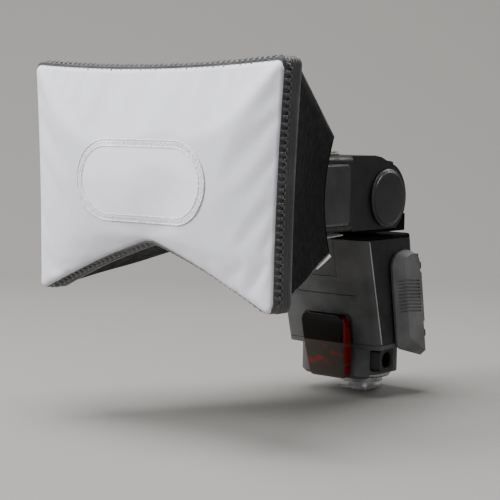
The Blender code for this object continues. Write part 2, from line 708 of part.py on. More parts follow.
def make_head_rear_shell():
    """Rear half of the head: two cheeks round the pivot, a roof over the drum and a short floor."""
    axis_y, axis_z = TILT[1:]
    front = HEAD_SPLIT + GAP
    cheek = arc(axis_y, axis_z, CHEEK_RADIUS, CHEEK_END, ROOF_END, 16)
    roll = arc(axis_y, axis_z, ROOF_OUT, ROOF_END, 90, 4)
    slope = [(axis_y - 5.5, HEAD_HIGH - 0.9), (axis_y - 11.5, HEAD_HIGH), (front, HEAD_HIGH)]
    outline = [(front, HEAD_LOW), (cheek[0][0], HEAD_LOW)] + cheek + roll + slope
    shell = prism("head_rear_shell", outline, "x", -CHEEK_OUT, CHEEK_OUT, origin=TILT)
    under_roof = arc(axis_y, axis_z, ROOF_OUT - WALL, ROOF_END, 90, 4)
    ceiling = HEAD_HIGH - HEAD_WALL
    under_slope = [(axis_y - 5.9, HEAD_HIGH - 0.9 - WALL), (axis_y - 11.5, ceiling)]
    under_slope.append((front - BEYOND, ceiling))
    floor = HEAD_LOW + HEAD_WALL
    floor_end = axis_y - DRUM_RADIUS - 2.0
    inside = [(front - BEYOND, floor), (floor_end, floor), (floor_end, HEAD_LOW - BEYOND)]
    far = ROOF_OUT + BEYOND
    inside += [(axis_y + far, HEAD_LOW - BEYOND), (axis_y + far, axis_z + far)]
    inside.append((axis_y + far * cos(radians(ROOF_END)), axis_z + far * sin(radians(ROOF_END))))
    inner_half = CHEEK_OUT - HEAD_WALL
    hollow = prism("hollow_rear", inside + under_roof + under_slope, "x", -inner_half, inner_half)
    reach = CHEEK_OUT + BEYOND
    pivot = rod("hole_pivot", PIVOT_HOLE, TILT[1:], "x", -reach, reach, 32)
    finish(cut(shell, hollow, pivot), PLASTIC_DARK)


def head_ring(y, inset):
    """Outline of the head housing at a place along it."""
    half = HEAD_HALF - inset
    outline = rounded(-half, half, HEAD_LOW + inset, HEAD_HIGH - inset, HEAD_CORNER - inset / 2)
    return [(x, y, z) for x, z in outline]


def make_head_housing():
    """Front half of the head with its window, panel slot and grip recesses."""
    rear = HEAD_SPLIT - GAP
    rings = [head_ring(rear, 0.0), head_ring(HEAD_FRONT + 1.0, 0.0), head_ring(HEAD_FRONT, 1.0)]
    housing = lofted("head_housing", rings, origin=TILT)
    inner = [head_ring(y, HEAD_WALL) for y in (rear + BEYOND, HEAD_FRONT + HEAD_FACE)]
    cut(housing, lofted("hollow_head", inner))
    face = (HEAD_FRONT - BEYOND, HEAD_FRONT + HEAD_FACE + 1.0)
    cut(housing, block("opening_window", (-WINDOW_HALF, WINDOW_HALF), face, (WINDOW_LOW, WINDOW_HIGH)))
    slot = (PANEL_HALF + GAP, PANEL_THICK / 2 + GAP)
    cut(housing, block("slot_panel", (-slot[0], slot[0]), face, (PANEL_Z - slot[1], PANEL_Z + slot[1])))
    for name, side in (("right", 1), ("left", -1)):
        recess = rounded(GRIP_FRONT, GRIP_REAR, GRIP_LOW, GRIP_HIGH, 2.5)
        across = sorted((side * (HEAD_HALF - GRIP_RECESS), side * (HEAD_HALF + BEYOND)))
        cut(housing, prism(f"recess_{name}", recess, "x", *across))
        stations = []
        for out, inset in ((GAP - GRIP_RECESS, GAP), (GRIP_PROUD - 0.4, GAP), (GRIP_PROUD, GAP + 0.8)):
            limits = (GRIP_FRONT + inset, GRIP_REAR - inset, GRIP_LOW + inset, GRIP_HIGH - inset)
            stations.append([(side * (HEAD_HALF + out), y, z) for y, z in rounded(*limits, 2.2)])
        finish(lofted(f"grip_panel_{name}", stations, origin=TILT), RUBBER)
    finish(housing, PLASTIC_DARK)


def make_head_inside():
    """Window, wide panel, zooming reflector with its tube, and the screw and motor that move it."""
    lens = block(
        "fresnel_window",
        (-WINDOW_HALF + GAP, WINDOW_HALF - GAP),
        (HEAD_FRONT + 0.2, HEAD_FRONT + 0.2 + LENS_THICK),
        (WINDOW_LOW + GAP, WINDOW_HIGH - GAP),
        origin=TILT,
    )
    finish(lens, CLEAR)
    half = PANEL_THICK / 2
    panel = block(
        "wide_panel",
        (-PANEL_HALF, PANEL_HALF),
        (HEAD_FRONT + 0.5, HEAD_FRONT + 0.5 + PANEL_LONG),
        (PANEL_Z - half, PANEL_Z + half),
        origin=TILT,
    )
    finish(panel, CLEAR)
    middle = (CARRIAGE_LOW + CARRIAGE_HIGH) / 2
    carriage = block(
        "reflector_carriage",
        (-CARRIAGE_HALF, CARRIAGE_HALF),
        (CARRIAGE_FRONT, CARRIAGE_REAR),
        (CARRIAGE_LOW, CARRIAGE_HIGH),
        origin=TILT,
    )
    deep = CARRIAGE_REAR - CARRIAGE_WALL - CARRIAGE_FRONT
    high = (CARRIAGE_HIGH - CARRIAGE_LOW) / 2 - CARRIAGE_WALL
    steps = 10
    across = [2 * i / steps - 1 for i in range(steps + 1)]
    bowl = [(CARRIAGE_FRONT + deep * (1 - share**2), middle + high * share) for share in across]
    mouth = [(CARRIAGE_FRONT - BEYOND, middle + high), (CARRIAGE_FRONT - BEYOND, middle - high)]
    inside = CARRIAGE_HALF - CARRIAGE_WALL
    lug = block(
        "lug_carriage",
        (CARRIAGE_HALF - 1.0, SCREW_X + 3.0),
        (CARRIAGE_FRONT + 0.5, CARRIAGE_FRONT + 5.0),
        (SCREW_Z - 3.4, SCREW_Z + 3.0),
    )
    nut = rod("bore_nut", LEAD_RADIUS + GAP, (SCREW_X, SCREW_Z), "y", HEAD_FRONT, CARRIAGE_REAR, 16)
    bore = rod("bore_tube", TUBE_RADIUS + GAP, (TUBE_Y, middle), "x", -HEAD_HALF, HEAD_HALF, 16)
    cut(carriage, prism("bowl", bowl + mouth, "x", -inside, inside))
    join(carriage, lug)
    finish(cut(carriage, nut, bore), STEEL)
    tube = rod("flash_tube", TUBE_RADIUS, (TUBE_Y, middle), "x", -TUBE_HALF, TUBE_HALF, 16, origin=TILT)
    finish(tube, CLEAR)
    place = (SCREW_X, SCREW_Z)
    screw_front = HEAD_FRONT + HEAD_FACE + 1.0
    screw_rear = MOTOR_FRONT - GAP
    origin = (SCREW_X, 0.0, SCREW_Z)
    screw = rod("zoom_lead_screw", LEAD_RADIUS, place, "y", screw_front, screw_rear, 16, origin=origin)
    finish(screw, STEEL)
    finish(rod("zoom_motor", MOTOR_RADIUS, place, "y", MOTOR_FRONT, MOTOR_REAR, 24, origin=TILT), STEEL)
    low = HEAD_HIGH + GAP
    outline = rounded(-STRIP_HALF, STRIP_HALF, STRIP_FRONT, STRIP_REAR, 1.5)
    finish(prism("loop_strip", outline, "z", low, low + STRIP_THICK, origin=TILT), LOOP_PILE)


def make_controls(frame):
    """Display window, buttons and power switch on the leaning rear face."""
    half = LCD_HALF - GAP
    lcd = rear_box("lcd_window", (-half, half), (-1.7, -0.1), (LCD_LOW + GAP, LCD_HIGH - GAP), frame)
    finish(lcd, DARK_WINDOW)
    for i in range(4):
        place = (BUTTON_PITCH * (i - 1.5), BUTTON_Z)
        profile = [
            (BUTTON_RADIUS + 1.0, FLANGE_FAR),
            (BUTTON_RADIUS + 1.0, FLANGE_NEAR),
            (BUTTON_RADIUS, FLANGE_NEAR),
            (BUTTON_RADIUS, BUTTON_PROUD - 0.5),
            (BUTTON_RADIUS - 0.6, BUTTON_PROUD),
        ]
        finish(turned(f"button_{i + 1}", profile, place, "y", 24, frame=frame), PLASTIC_GREY)
    wide, high = PILOT_HALF
    stations = []
    steps = ((FLANGE_FAR, 1.0), (FLANGE_NEAR, 1.0), (FLANGE_NEAR + 0.01, 0.0), (0.5, 0.0), (0.9, -0.5))
    for y, grow in steps:
        across, up = wide + grow, high + grow
        limits = (PILOT_X - across, PILOT_X + across, LOW_ROW_Z - up, LOW_ROW_Z + up)
        stations.append([(x, y, z) for x, z in rounded(*limits, 1.7)])
    finish(lofted("pilot_button", stations, frame=frame), CLEAR)
    wide, high = SWITCH_HALF
    knob = rear_box(
        "power_switch",
        (SWITCH_X - wide, SWITCH_X + wide),
        (FLANGE_FAR + 0.5, 1.2),
        (LOW_ROW_Z - high, LOW_ROW_Z + high),
        frame,
    )
    slide = rear_box(
        "slide_switch",
        (SWITCH_X - wide - 1.2, SWITCH_X + wide + 1.2),
        (FLANGE_FAR, FLANGE_NEAR),
        (LOW_ROW_Z - high - 1.0, LOW_ROW_Z + high + 1.0),
        frame,
    )
    finish(join(knob, slide), PLASTIC_GREY)


def make_battery_door(frame):
    """Bulged side door with an arched top, rib grooves and a hinge knuckle, and its hinge pin."""
    hinge = (HINGE_X, HINGE_Y, 0.0)
    stations = []
    for out, inset in ((DOOR_IN, 0.0), (DOOR_IN + DOOR_SIDE, 0.0), (DOOR_OUT, DOOR_INSET)):
        front = DOOR_FRONT + inset * DOOR_FACET / DOOR_INSET
        rear = DOOR_REAR - inset * 0.3
        low_front = DOOR_LOW_FRONT + inset * 1.6
        low_rear = DOOR_LOW_REAR + inset * 1.6
        top = DOOR_TOP - inset
        arch = DOOR_ARCH - inset
        outline = arc(rear - arch, top - arch, arch, 0, 90) + arc(front + arch, top - arch, arch, 90, 180)
        outline += [(front, low_front + DOOR_BEVEL), (front + DOOR_BEVEL, low_front), (rear, low_rear)]
        stations.append([(out, y, z) for y, z in outline])
    door = lofted("battery_door", stations, frame=frame, origin=hinge)
    knuckle = arc(HINGE_X, HINGE_Y, KNUCKLE_RADIUS, -40, 215, 14)
    knuckle += [(DOOR_IN + 0.4, DOOR_REAR - 0.6), (HINGE_X + 1.8, DOOR_REAR - 0.6)]
    join(door, prism("knuckle", knuckle, "z", *KNUCKLE, frame=frame))
    bore = HINGE_PIN_RADIUS + GAP
    cut(door, rod("bore_knuckle", bore, (HINGE_X, HINGE_Y), "z", DOOR_BOTTOM, DOOR_TOP, 16, frame=frame))
    ridge = DOOR_FRONT + DOOR_FACET
    inner = (ridge, DOOR_REAR - DOOR_WALL)
    across = (DOOR_IN - BEYOND, DOOR_OUT - DOOR_WALL)
    cut(door, rear_box("pocket_door", across, inner, (DOOR_BOTTOM + 6.0, DOOR_TOP - 6.0), frame))
    floor = DOOR_OUT - RIB_DEPTH
    far = DOOR_OUT + BEYOND
    start = DOOR_FRONT + RIB_MARGIN
    start_out = DOOR_IN + DOOR_SIDE + (DOOR_OUT - DOOR_IN - DOOR_SIDE) * RIB_MARGIN / DOOR_FACET - RIB_DEPTH
    end = DOOR_REAR - RIB_MARGIN
    drop = RIB_SLANT * (end - ridge)
    groove = ((floor, end, drop), (floor, ridge, 0.0), (start_out, start, 0.0))
    groove += ((far, start, 0.0), (far, ridge, 0.0), (far, end, drop))
    for i in range(RIB_COUNT):
        top = RIB_TOP - RIB_PITCH * i
        rings = [[(x, y, z - fall) for x, y, fall in groove] for z in (top - RIB_PITCH / 2, top)]
        cut(door, lofted(f"groove_rib_{i}", rings, frame=frame))
    finish(door, PLASTIC_GREY)
    place = {"frame": frame, "origin": hinge}
    finish(rod("door_hinge_pin", HINGE_PIN_RADIUS, hinge[:2], "z", *HINGE_PIN, 16, **place), STEEL)


def make_inside(frame):
    """Cells, capacitor, circuit board and the contact plate under the cells."""
    number = 0
    for x in CELL_X:
        for y in CELL_Y:
            number += 1
            profile = [
                (CELL_RADIUS, CELL_LOW),
                (CELL_RADIUS, CELL_HIGH - 1.4),
                (CELL_RADIUS - 0.8, CELL_HIGH - 1.0),
                (2.6, CELL_HIGH - 1.0),
                (2.6, CELL_HIGH),
            ]
            finish(turned(f"battery_cell_{number}", profile, (x, y), "z", 20, frame=frame), CELL_SLEEVE)
    place = (CAPACITOR_X, CAPACITOR_Y)
    finish(rod("main_capacitor", CAPACITOR_RADIUS, place, "z", *CAPACITOR_HIGH, 28, frame=frame), RUBBER)
    deep = (BOARD_Y, BOARD_Y + BOARD_THICK)
    board = rear_box("main_board", (-BOARD_HALF, BOARD_HALF), deep, BOARD_HIGH, frame)
    finish(board, BOARD_GREEN)
    high = CELL_LOW - GAP
    across = (CELL_X[0] - 6.0, CELL_X[1] + 6.0)
    along = (CELL_Y[1] - 6.0, CELL_Y[0] + 6.0)
    finish(rear_box("cell_contact_plate", across, along, (high - PLATE_THICK, high), frame), STEEL)


def cloth_panel(name, corners):
    """Stretched fabric panel: a thin four-sided plate drawn in from its edges."""
    points = [Vector(corner) for corner in corners]
    inner = []
    for i, point in enumerate(points):
        back = (points[i - 1] - point).normalized()
        onward = (points[(i + 1) % len(points)] - point).normalized()
        inner.append(point + (back + onward) * (CLOTH_MARGIN / back.cross(onward).length))
    across = (inner[2] - inner[0]).cross(inner[3] - inner[1]).normalized() * (CLOTH / 2)
    rings = [[point - across for point in inner], [point + across for point in inner]]
    return finish(lofted(name, rings, origin=TILT), VINYL)


def mouth_outline(inset):
    """Five-sided front outline of the softbox with its notched lower edge."""
    half = MOUTH_HALF - inset
    low_half = MOUTH_LOW_HALF - inset
    rise = (MOUTH_APEX - MOUTH_LOW) / MOUTH_LOW_HALF
    low = MOUTH_LOW + inset * (1.0 + rise)
    apex = MOUTH_APEX + inset * 1.07
    top = MOUTH_TOP - inset
    return [(-half, top), (half, top), (low_half, low), (0.0, apex), (-low_half, low)]


def make_softbox():
    """Fabric panels, edge band, front diffuser with its oval patch, and the flap under the head."""
    top_x, top_y, top_z = GRIP_TOP_CORNER
    low_x, low_y, low_z = GRIP_LOW_CORNER
    roof = MOUTH_TOP - 0.5
    cloth_panel(
        "softbox_top",
        [
            (-MOUTH_HALF, MOUTH_Y, roof),
            (MOUTH_HALF, MOUTH_Y, roof),
            (top_x, top_y, top_z),
            (-top_x, top_y, top_z),
        ],
    )
    for name, side in (("right", 1), ("left", -1)):
        front_top = (side * MOUTH_HALF, MOUTH_Y, roof)
        front_low = (side * MOUTH_LOW_HALF, MOUTH_Y, MOUTH_LOW)
        rear_top = (side * top_x, top_y, top_z)
        rear_low = (side * low_x, low_y, low_z)
        cloth_panel(f"softbox_side_{name}", [front_top, front_low, rear_low, rear_top])
        apex_front = (0.0, MOUTH_Y, MOUTH_APEX)
        apex_rear = (0.0, low_y, MOUTH_APEX)
        cloth_panel(f"softbox_bottom_{name}", [apex_front, front_low, rear_low, apex_rear])
    rim = prism("softbox_rim", mouth_outline(0.0), "y", FACE_Y, MOUTH_Y - GAP, origin=TILT)
    inner = mouth_outline(RIM_THICK)
    cut(rim, prism("hollow_rim", inner, "y", FACE_Y - BEYOND, MOUTH_Y + BEYOND))
    finish(rim, VINYL)
    near = FACE_Y - GAP
    far = near - DIFFUSER_THICK
    diffuser = prism("softbox_diffuser", mouth_outline(0.0), "y", far, near, origin=TILT)
    finish(diffuser, DIFFUSER_CLOTH)
    patch_near = far - GAP
    radius = (PATCH_HIGH - PATCH_LOW) / 2
    oval = rounded(-PATCH_HALF, PATCH_HALF, PATCH_LOW, PATCH_HIGH, radius - 0.01, 8)
    patch = prism("softbox_oval_patch", oval, "y", patch_near - PATCH_THICK, patch_near, origin=TILT)
    finish(patch, DIFFUSER_CLOTH)
    across = (-FLAP_HALF, FLAP_HALF)
    flap = block("softbox_flap", across, (low_y + GAP, FLAP_REAR), (FLAP_Z, FLAP_Z + CLOTH), origin=TILT)
    finish(flap, WHITE_CLOTH)


def main():
    """Build every piece in order."""
    clear_scene()
    rear_frame = bpy.data.objects.new("rear_frame", None)
    bpy.context.scene.collection.objects.link(rear_frame)
    rear_frame.location = (0.0, REAR_TOP_Y * MM, DECK_Z * MM)
    rear_frame.rotation_euler = (LEAN, 0.0, 0.0)
    make_front_shell()
    make_sensor_window()
    make_rear_shell(rear_frame)
    make_top_deck()
    make_base_housing()
    make_af_window()
    make_foot()
    make_power_socket()
    make_swivel()
    make_head_rear_shell()
    make_head_housing()
    make_head_inside()
    make_controls(rear_frame)
    make_battery_door(rear_frame)
    make_inside(rear_frame)
    make_softbox()


main()
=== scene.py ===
"""Looks of a hot-shoe flash gun that wears a folding softbox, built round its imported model."""

import logging
import math
import random
from dataclasses import dataclass, field
from enum import Enum

import bpy
from mathutils import Matrix, Vector
from mathutils.bvhtree import BVHTree


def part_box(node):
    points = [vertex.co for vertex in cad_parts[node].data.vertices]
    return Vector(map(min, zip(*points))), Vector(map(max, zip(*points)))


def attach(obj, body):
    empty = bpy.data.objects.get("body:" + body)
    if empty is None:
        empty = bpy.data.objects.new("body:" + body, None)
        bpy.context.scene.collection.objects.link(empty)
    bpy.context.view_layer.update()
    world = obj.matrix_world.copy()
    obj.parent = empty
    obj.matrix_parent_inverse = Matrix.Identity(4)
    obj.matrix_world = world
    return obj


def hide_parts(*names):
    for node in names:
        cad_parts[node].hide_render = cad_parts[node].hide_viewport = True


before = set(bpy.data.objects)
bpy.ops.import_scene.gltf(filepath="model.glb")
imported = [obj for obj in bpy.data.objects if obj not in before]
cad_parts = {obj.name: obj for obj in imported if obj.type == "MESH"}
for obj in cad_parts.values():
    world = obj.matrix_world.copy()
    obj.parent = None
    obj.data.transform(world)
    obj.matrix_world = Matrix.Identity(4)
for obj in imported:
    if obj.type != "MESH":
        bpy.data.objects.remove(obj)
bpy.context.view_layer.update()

LOG = logging.getLogger("flash_gun")
MM = 0.001

Colour = tuple[float, float, float]
Flat = tuple[float, float]
Face = tuple[int, ...]
Socket = bpy.types.NodeSocket
Skin = tuple[list[Vector], list[Face]]


class Axis(Enum):
    """Direction in which an outline is drawn out into a solid."""

    ACROSS = "x"
    UP = "z"


class ShaderSheet:
    """Wires the nodes of one procedural material."""

    def __init__(self, name: str) -> None:
        """Start a material whose texture place is the object's own space.

        Args:
            name: The material's name.
        """
        self.material = bpy.data.materials.new(name)
        self.material.use_nodes = True
        self.tree = self.material.node_tree
        self.surface = self.tree.nodes["Principled BSDF"]
        self.place = self.add("ShaderNodeTexCoord").outputs["Object"]

    def add(
        self, kind: str, settings: dict | None = None, links: dict | None = None, **attributes: object
    ) -> bpy.types.Node:
        """Add a node.

        Args:
            kind: The node's type.
            settings: Values for its inputs, by input name or number.
            links: Sockets to join to its inputs, by input name or number.
            **attributes: Properties of the node itself.

        Returns:
            The new node.
        """
        node = self.tree.nodes.new(kind)
        for key, value in attributes.items():
            setattr(node, key, value)
        for key, value in (settings or {}).items():
            node.inputs[key].default_value = value
        for key, socket in (links or {}).items():
            self.tree.links.new(socket, node.inputs[key])
        return node

    def join(self, socket: Socket, name: str) -> None:
        """Join a socket to one of the surface's inputs."""
        self.tree.links.new(socket, self.surface.inputs[name])

    def set(self, **values: object) -> None:
        """Set the surface's own inputs; an underscore stands for a space."""
        for key, value in values.items():
            self.surface.inputs[key.replace("_", " ")].default_value = value

    def noise(
        self, size: float, detail: float = 3.0, stretch: tuple[float, float, float] = (1, 1, 1)
    ) -> Socket:
        """Noise whose blotches are about size metres across.

        Args:
            size: Size of the noise's features in metres.
            detail: How many finer layers it holds.
            stretch: How much the features are squeezed along each axis.

        Returns:
            The noise value's socket.
        """
        scaled = self.add("ShaderNodeMapping", {"Scale": stretch}, {"Vector": self.place})
        node = self.add(
            "ShaderNodeTexNoise", {"Scale": 1.0 / size, "Detail": detail}, {"Vector": scaled.outputs[0]}
        )
        return node.outputs["Fac"]

    def ramp(self, socket: Socket, low: float, high: float, start: float, end: float) -> Socket:
        """Map a value's stretch low..high smoothly to start..end."""
        node = self.add(
            "ShaderNodeMapRange",
            {"From Min": low, "From Max": high, "To Min": start, "To Max": end},
            {"Value": socket},
            interpolation_type="SMOOTHSTEP",
        )
        return node.outputs["Result"]

    def mix(self, share: Socket, first: Colour, second: Colour) -> Socket:
        """Blend two colours by a share that changes over the surface."""
        node = self.add("ShaderNodeMix", data_type="RGBA")
        self.tree.links.new(share, node.inputs[0])
        node.inputs[6].default_value = (*first, 1.0)
        node.inputs[7].default_value = (*second, 1.0)
        return node.outputs[2]

    def bump(
        self, height: Socket, distance: float, strength: float = 1.0, under: Socket | None = None
    ) -> Socket:
        """Raise the surface by a height pattern.

        Args:
            height: The pattern.
            distance: How far the pattern's full height stands up, in metres.
            strength: The share of the effect.
            under: A bump that this one lies on.

        Returns:
            The normal's socket.
        """
        links = {"Height": height}
        if under is not None:
            links["Normal"] = under
        node = self.add("ShaderNodeBump", {"Distance": distance, "Strength": strength}, links)
        return node.outputs["Normal"]


@dataclass(frozen=True)
class Moulding:
    """Moulded plastic with a fine spark-eroded grain, faint mottling and handling marks."""

    colour: Colour
    roughness: float = 0.5
    grain: float = 0.00035
    depth: float = 0.00004
    polish: float = 0.12
    coat: float = 0.0
    shine: float = 0.5

    def material(self, name: str) -> bpy.types.Material:
        """Make the material."""
        sheet = ShaderSheet(name)
        soft = sheet.noise(0.018, 4.0)
        lighter = tuple(min(1.0, c * 1.28 + 0.002) for c in self.colour)
        darker = tuple(c * 0.84 for c in self.colour)
        sheet.join(sheet.mix(sheet.ramp(soft, 0.35, 0.65, 0.0, 1.0), darker, lighter), "Base Color")
        worn = sheet.noise(0.006, 5.0)
        sheet.join(
            sheet.ramp(
                worn, 0.3, 0.75, self.roughness - self.polish, self.roughness + self.polish * 0.5
            ),
            "Roughness",
        )
        grain = sheet.bump(sheet.noise(self.grain, 2.0), self.depth)
        sheet.join(grain, "Normal")
        sheet.set(Coat_Weight=self.coat, Coat_Roughness=0.15, Specular_IOR_Level=self.shine)
        return sheet.material


@dataclass(frozen=True)
class Paper:
    """Plain matt background paper with the faintest tooth."""

    colour: Colour

    def material(self, name: str) -> bpy.types.Material:
        """Make the material."""
        sheet = ShaderSheet(name)
        sheet.join(sheet.bump(sheet.noise(0.004, 2.0), 0.00002), "Normal")
        sheet.set(Base_Color=(*self.colour, 1.0), Roughness=0.95, Specular_IOR_Level=0.1)
        return sheet.material


@dataclass(frozen=True)
class CoatedCloth:
    """Coated black cloth: leathery grain over a soft weave, with creases and a dull sheen."""

    colour: Colour
    roughness: float = 0.5
    thread: float = 0.0007
    crease: float = 0.0002
    shine: float = 0.5

    def material(self, name: str) -> bpy.types.Material:
        """Make the material."""
        sheet = ShaderSheet(name)
        blotch = sheet.noise(0.02, 5.0)
        lighter = tuple(c * 1.5 for c in self.colour)
        sheet.join(
            sheet.mix(sheet.ramp(blotch, 0.35, 0.7, 0.0, 1.0), self.colour, lighter), "Base Color"
        )
        rubbed = sheet.noise(0.004, 4.0)
        sheet.join(
            sheet.ramp(rubbed, 0.3, 0.7, self.roughness - 0.1, self.roughness + 0.12), "Roughness"
        )
        cells = sheet.add(
            "ShaderNodeTexVoronoi",
            {"Scale": 1.0 / self.thread},
            {"Vector": sheet.place},
            feature="SMOOTH_F1",
        )
        fine = sheet.bump(cells.outputs["Distance"], 0.00008, 0.6)
        sheet.join(sheet.bump(sheet.noise(0.012, 3.0), self.crease * 6, 0.35, fine), "Normal")
        sheet.set(Specular_IOR_Level=self.shine)
        return sheet.material


@dataclass(frozen=True)
class Nylon:
    """Thin white nylon that light soaks through, with a fine plain weave."""

    colour: Colour
    shade: Colour
    thread: float = 0.0006
    through: float = 0.25

    def material(self, name: str) -> bpy.types.Material:
        """Make the material."""
        sheet = ShaderSheet(name)
        cloud = sheet.noise(0.05, 2.0)
        sheet.join(
            sheet.mix(sheet.ramp(cloud, 0.35, 0.65, 0.0, 1.0), self.shade, self.colour), "Base Color"
        )
        height = None
        for axis in ("X", "Z"):
            wave = sheet.add(
                "ShaderNodeTexWave",
                {"Scale": 0.314 / self.thread, "Distortion": 0.4, "Detail": 1.0},
                {"Vector": sheet.place},
                bands_direction=axis,
            )
            height = sheet.bump(wave.outputs["Fac"], 0.00003, 0.35, height)
        sheet.join(height, "Normal")
        sheet.set(
            Roughness=0.75,
            Subsurface_Weight=self.through,
            Subsurface_Radius=(0.02, 0.02, 0.022),
            Subsurface_Scale=0.3,
            Sheen_Weight=0.15,
        )
        return sheet.material


@dataclass(frozen=True)
class Thread:
    """Sewing thread: a slightly glossy twist."""

    colour: Colour
    roughness: float = 0.4

    def material(self, name: str) -> bpy.types.Material:
        """Make the material."""
        sheet = ShaderSheet(name)
        strand = sheet.noise(0.0012, 2.0)
        darker = tuple(c * 0.55 for c in self.colour)
        sheet.join(
            sheet.mix(sheet.ramp(strand, 0.35, 0.6, 0.0, 1.0), darker, self.colour), "Base Color"
        )
        twist = sheet.noise(0.0003, 1.0)
        sheet.join(sheet.bump(twist, 0.00005), "Normal")
        sheet.set(Roughness=self.roughness)
        return sheet.material


@dataclass(frozen=True)
class Metal:
    """Bare metal with fine tooling lines and slight tarnish."""

    colour: Colour
    roughness: float = 0.3
    lines: tuple[float, float, float] = (1.0, 1.0, 8.0)

    def material(self, name: str) -> bpy.types.Material:
        """Make the material."""
        sheet = ShaderSheet(name)
        tarnish = sheet.noise(0.004, 4.0)
        darker = tuple(c * 0.7 for c in self.colour)
        sheet.join(
            sheet.mix(sheet.ramp(tarnish, 0.3, 0.6, 0.0, 1.0), darker, self.colour), "Base Color"
        )
        tool = sheet.noise(0.0008, 3.0, self.lines)
        sheet.join(
            sheet.ramp(tool, 0.3, 0.7, self.roughness - 0.08, self.roughness + 0.12), "Roughness"
        )
        sheet.join(sheet.bump(tool, 0.00001), "Normal")
        sheet.set(Metallic=1.0)
        return sheet.material


@dataclass(frozen=True)
class Clear:
    """Clear or tinted plastic, smooth or with fine lens ridges."""

    colour: Colour
    roughness: float = 0.06
    clearness: float = 0.9
    ridge: float = 0.0

    def material(self, name: str) -> bpy.types.Material:
        """Make the material."""
        sheet = ShaderSheet(name)
        smear = sheet.noise(0.008, 4.0)
        sheet.join(sheet.ramp(smear, 0.35, 0.75, self.roughness, self.roughness + 0.05), "Roughness")
        tint = tuple(c * 0.9 for c in self.colour)
        blend = sheet.ramp(sheet.noise(0.012, 2.0), 0.4, 0.6, 0.0, 1.0)
        colour = sheet.mix(blend, tint, self.colour)
        sheet.join(colour, "Base Color")
        if self.ridge:
            wave = sheet.add(
                "ShaderNodeTexWave",
                {"Scale": 0.314 / self.ridge},
                {"Vector": sheet.place},
                bands_direction="Z",
            )
            sheet.join(sheet.bump(wave.outputs["Fac"], 0.0002), "Normal")
        sheet.set(Transmission_Weight=self.clearness, IOR=1.49, Coat_Weight=0.4, Coat_Roughness=0.05)
        return sheet.material


@dataclass(frozen=True)
class AssistWindow:
    """Deep red filter with painted light: a painted dark reflection on the upper facet, a painted
    grey-brown floor reflection with painted red glow spots on the lower facet, and painted bright red
    light on its cut sides.
    """

    fold: float
    # painted dark reflection: the filter's deep red darkened to near black on the upper facet, standing
    # in for the dark it reflects
    painted_dark_reflection: Colour = (0.0025, 0.0004, 0.0005)
    # painted reflection: smoky grey-brown of the lower facet, standing in for the floor it reflects
    below: Colour = (0.06, 0.047, 0.041)
    # painted glow: bright red for blotches on the lower facet; the window is no lamp
    glow: Colour = (0.30, 0.02, 0.015)
    # painted light: bright red of the cut sides, standing in for light caught in the filter's edges
    side: Colour = (0.17, 0.002, 0.003)

    def material(self, name: str) -> bpy.types.Material:
        """Make the material."""
        sheet = ShaderSheet(name)
        place = sheet.add("ShaderNodeSeparateXYZ", links={0: sheet.place})
        # share is 1 under the fold and 0 over it, choosing which painted reflection colour each facet
        # gets
        share = sheet.ramp(place.outputs["Z"], self.fold - 0.0002, self.fold + 0.0002, 1.0, 0.0)
        body = sheet.mix(share, self.painted_dark_reflection, self.below)
        # painted red glow: noise blotches of the glow colour, kept to the lower facet
        spots = sheet.ramp(sheet.noise(0.009, 3.0, (1.0, 1.0, 1.6)), 0.56, 0.7, 0.0, 0.55)
        painted_glow_share = sheet.add("ShaderNodeMath", links={0: spots, 1: share}, operation="MULTIPLY")
        with_painted_glow = self.blend(sheet, painted_glow_share.outputs[0], body, self.glow)
        # painted light on the cut sides: faces whose normal points along x take the side colour, split
        # up by noise into painted glints
        facing = sheet.add(
            "ShaderNodeSeparateXYZ", links={0: sheet.add("ShaderNodeNewGeometry").outputs["Normal"]}
        )
        across = sheet.add("ShaderNodeMath", links={0: facing.outputs["X"]}, operation="ABSOLUTE")
        painted_side_breaks = sheet.ramp(sheet.noise(0.005, 2.0, (0.2, 0.2, 1.0)), 0.4, 0.55, 0.15, 1.0)
        edge = sheet.add(
            "ShaderNodeMath",
            links={0: sheet.ramp(across.outputs[0], 0.4, 0.8, 0.0, 1.0), 1: painted_side_breaks},
            operation="MULTIPLY",
        )
        sheet.join(self.blend(sheet, edge.outputs[0], with_painted_glow, self.side), "Base Color")
        smear = sheet.noise(0.01, 3.0)
        sheet.join(sheet.ramp(smear, 0.35, 0.75, 0.03, 0.09), "Roughness")
        sheet.set(IOR=1.49, Specular_IOR_Level=0.18)
        return sheet.material

    @staticmethod
    def blend(sheet: ShaderSheet, share: Socket, first: Socket, second: Colour) -> Socket:
        """Blend a changing colour with a plain one."""
        node = sheet.add("ShaderNodeMix", data_type="RGBA")
        sheet.tree.links.new(share, node.inputs[0])
        sheet.tree.links.new(first, node.inputs[6])
        node.inputs[7].default_value = (*second, 1.0)
        return node.outputs[2]


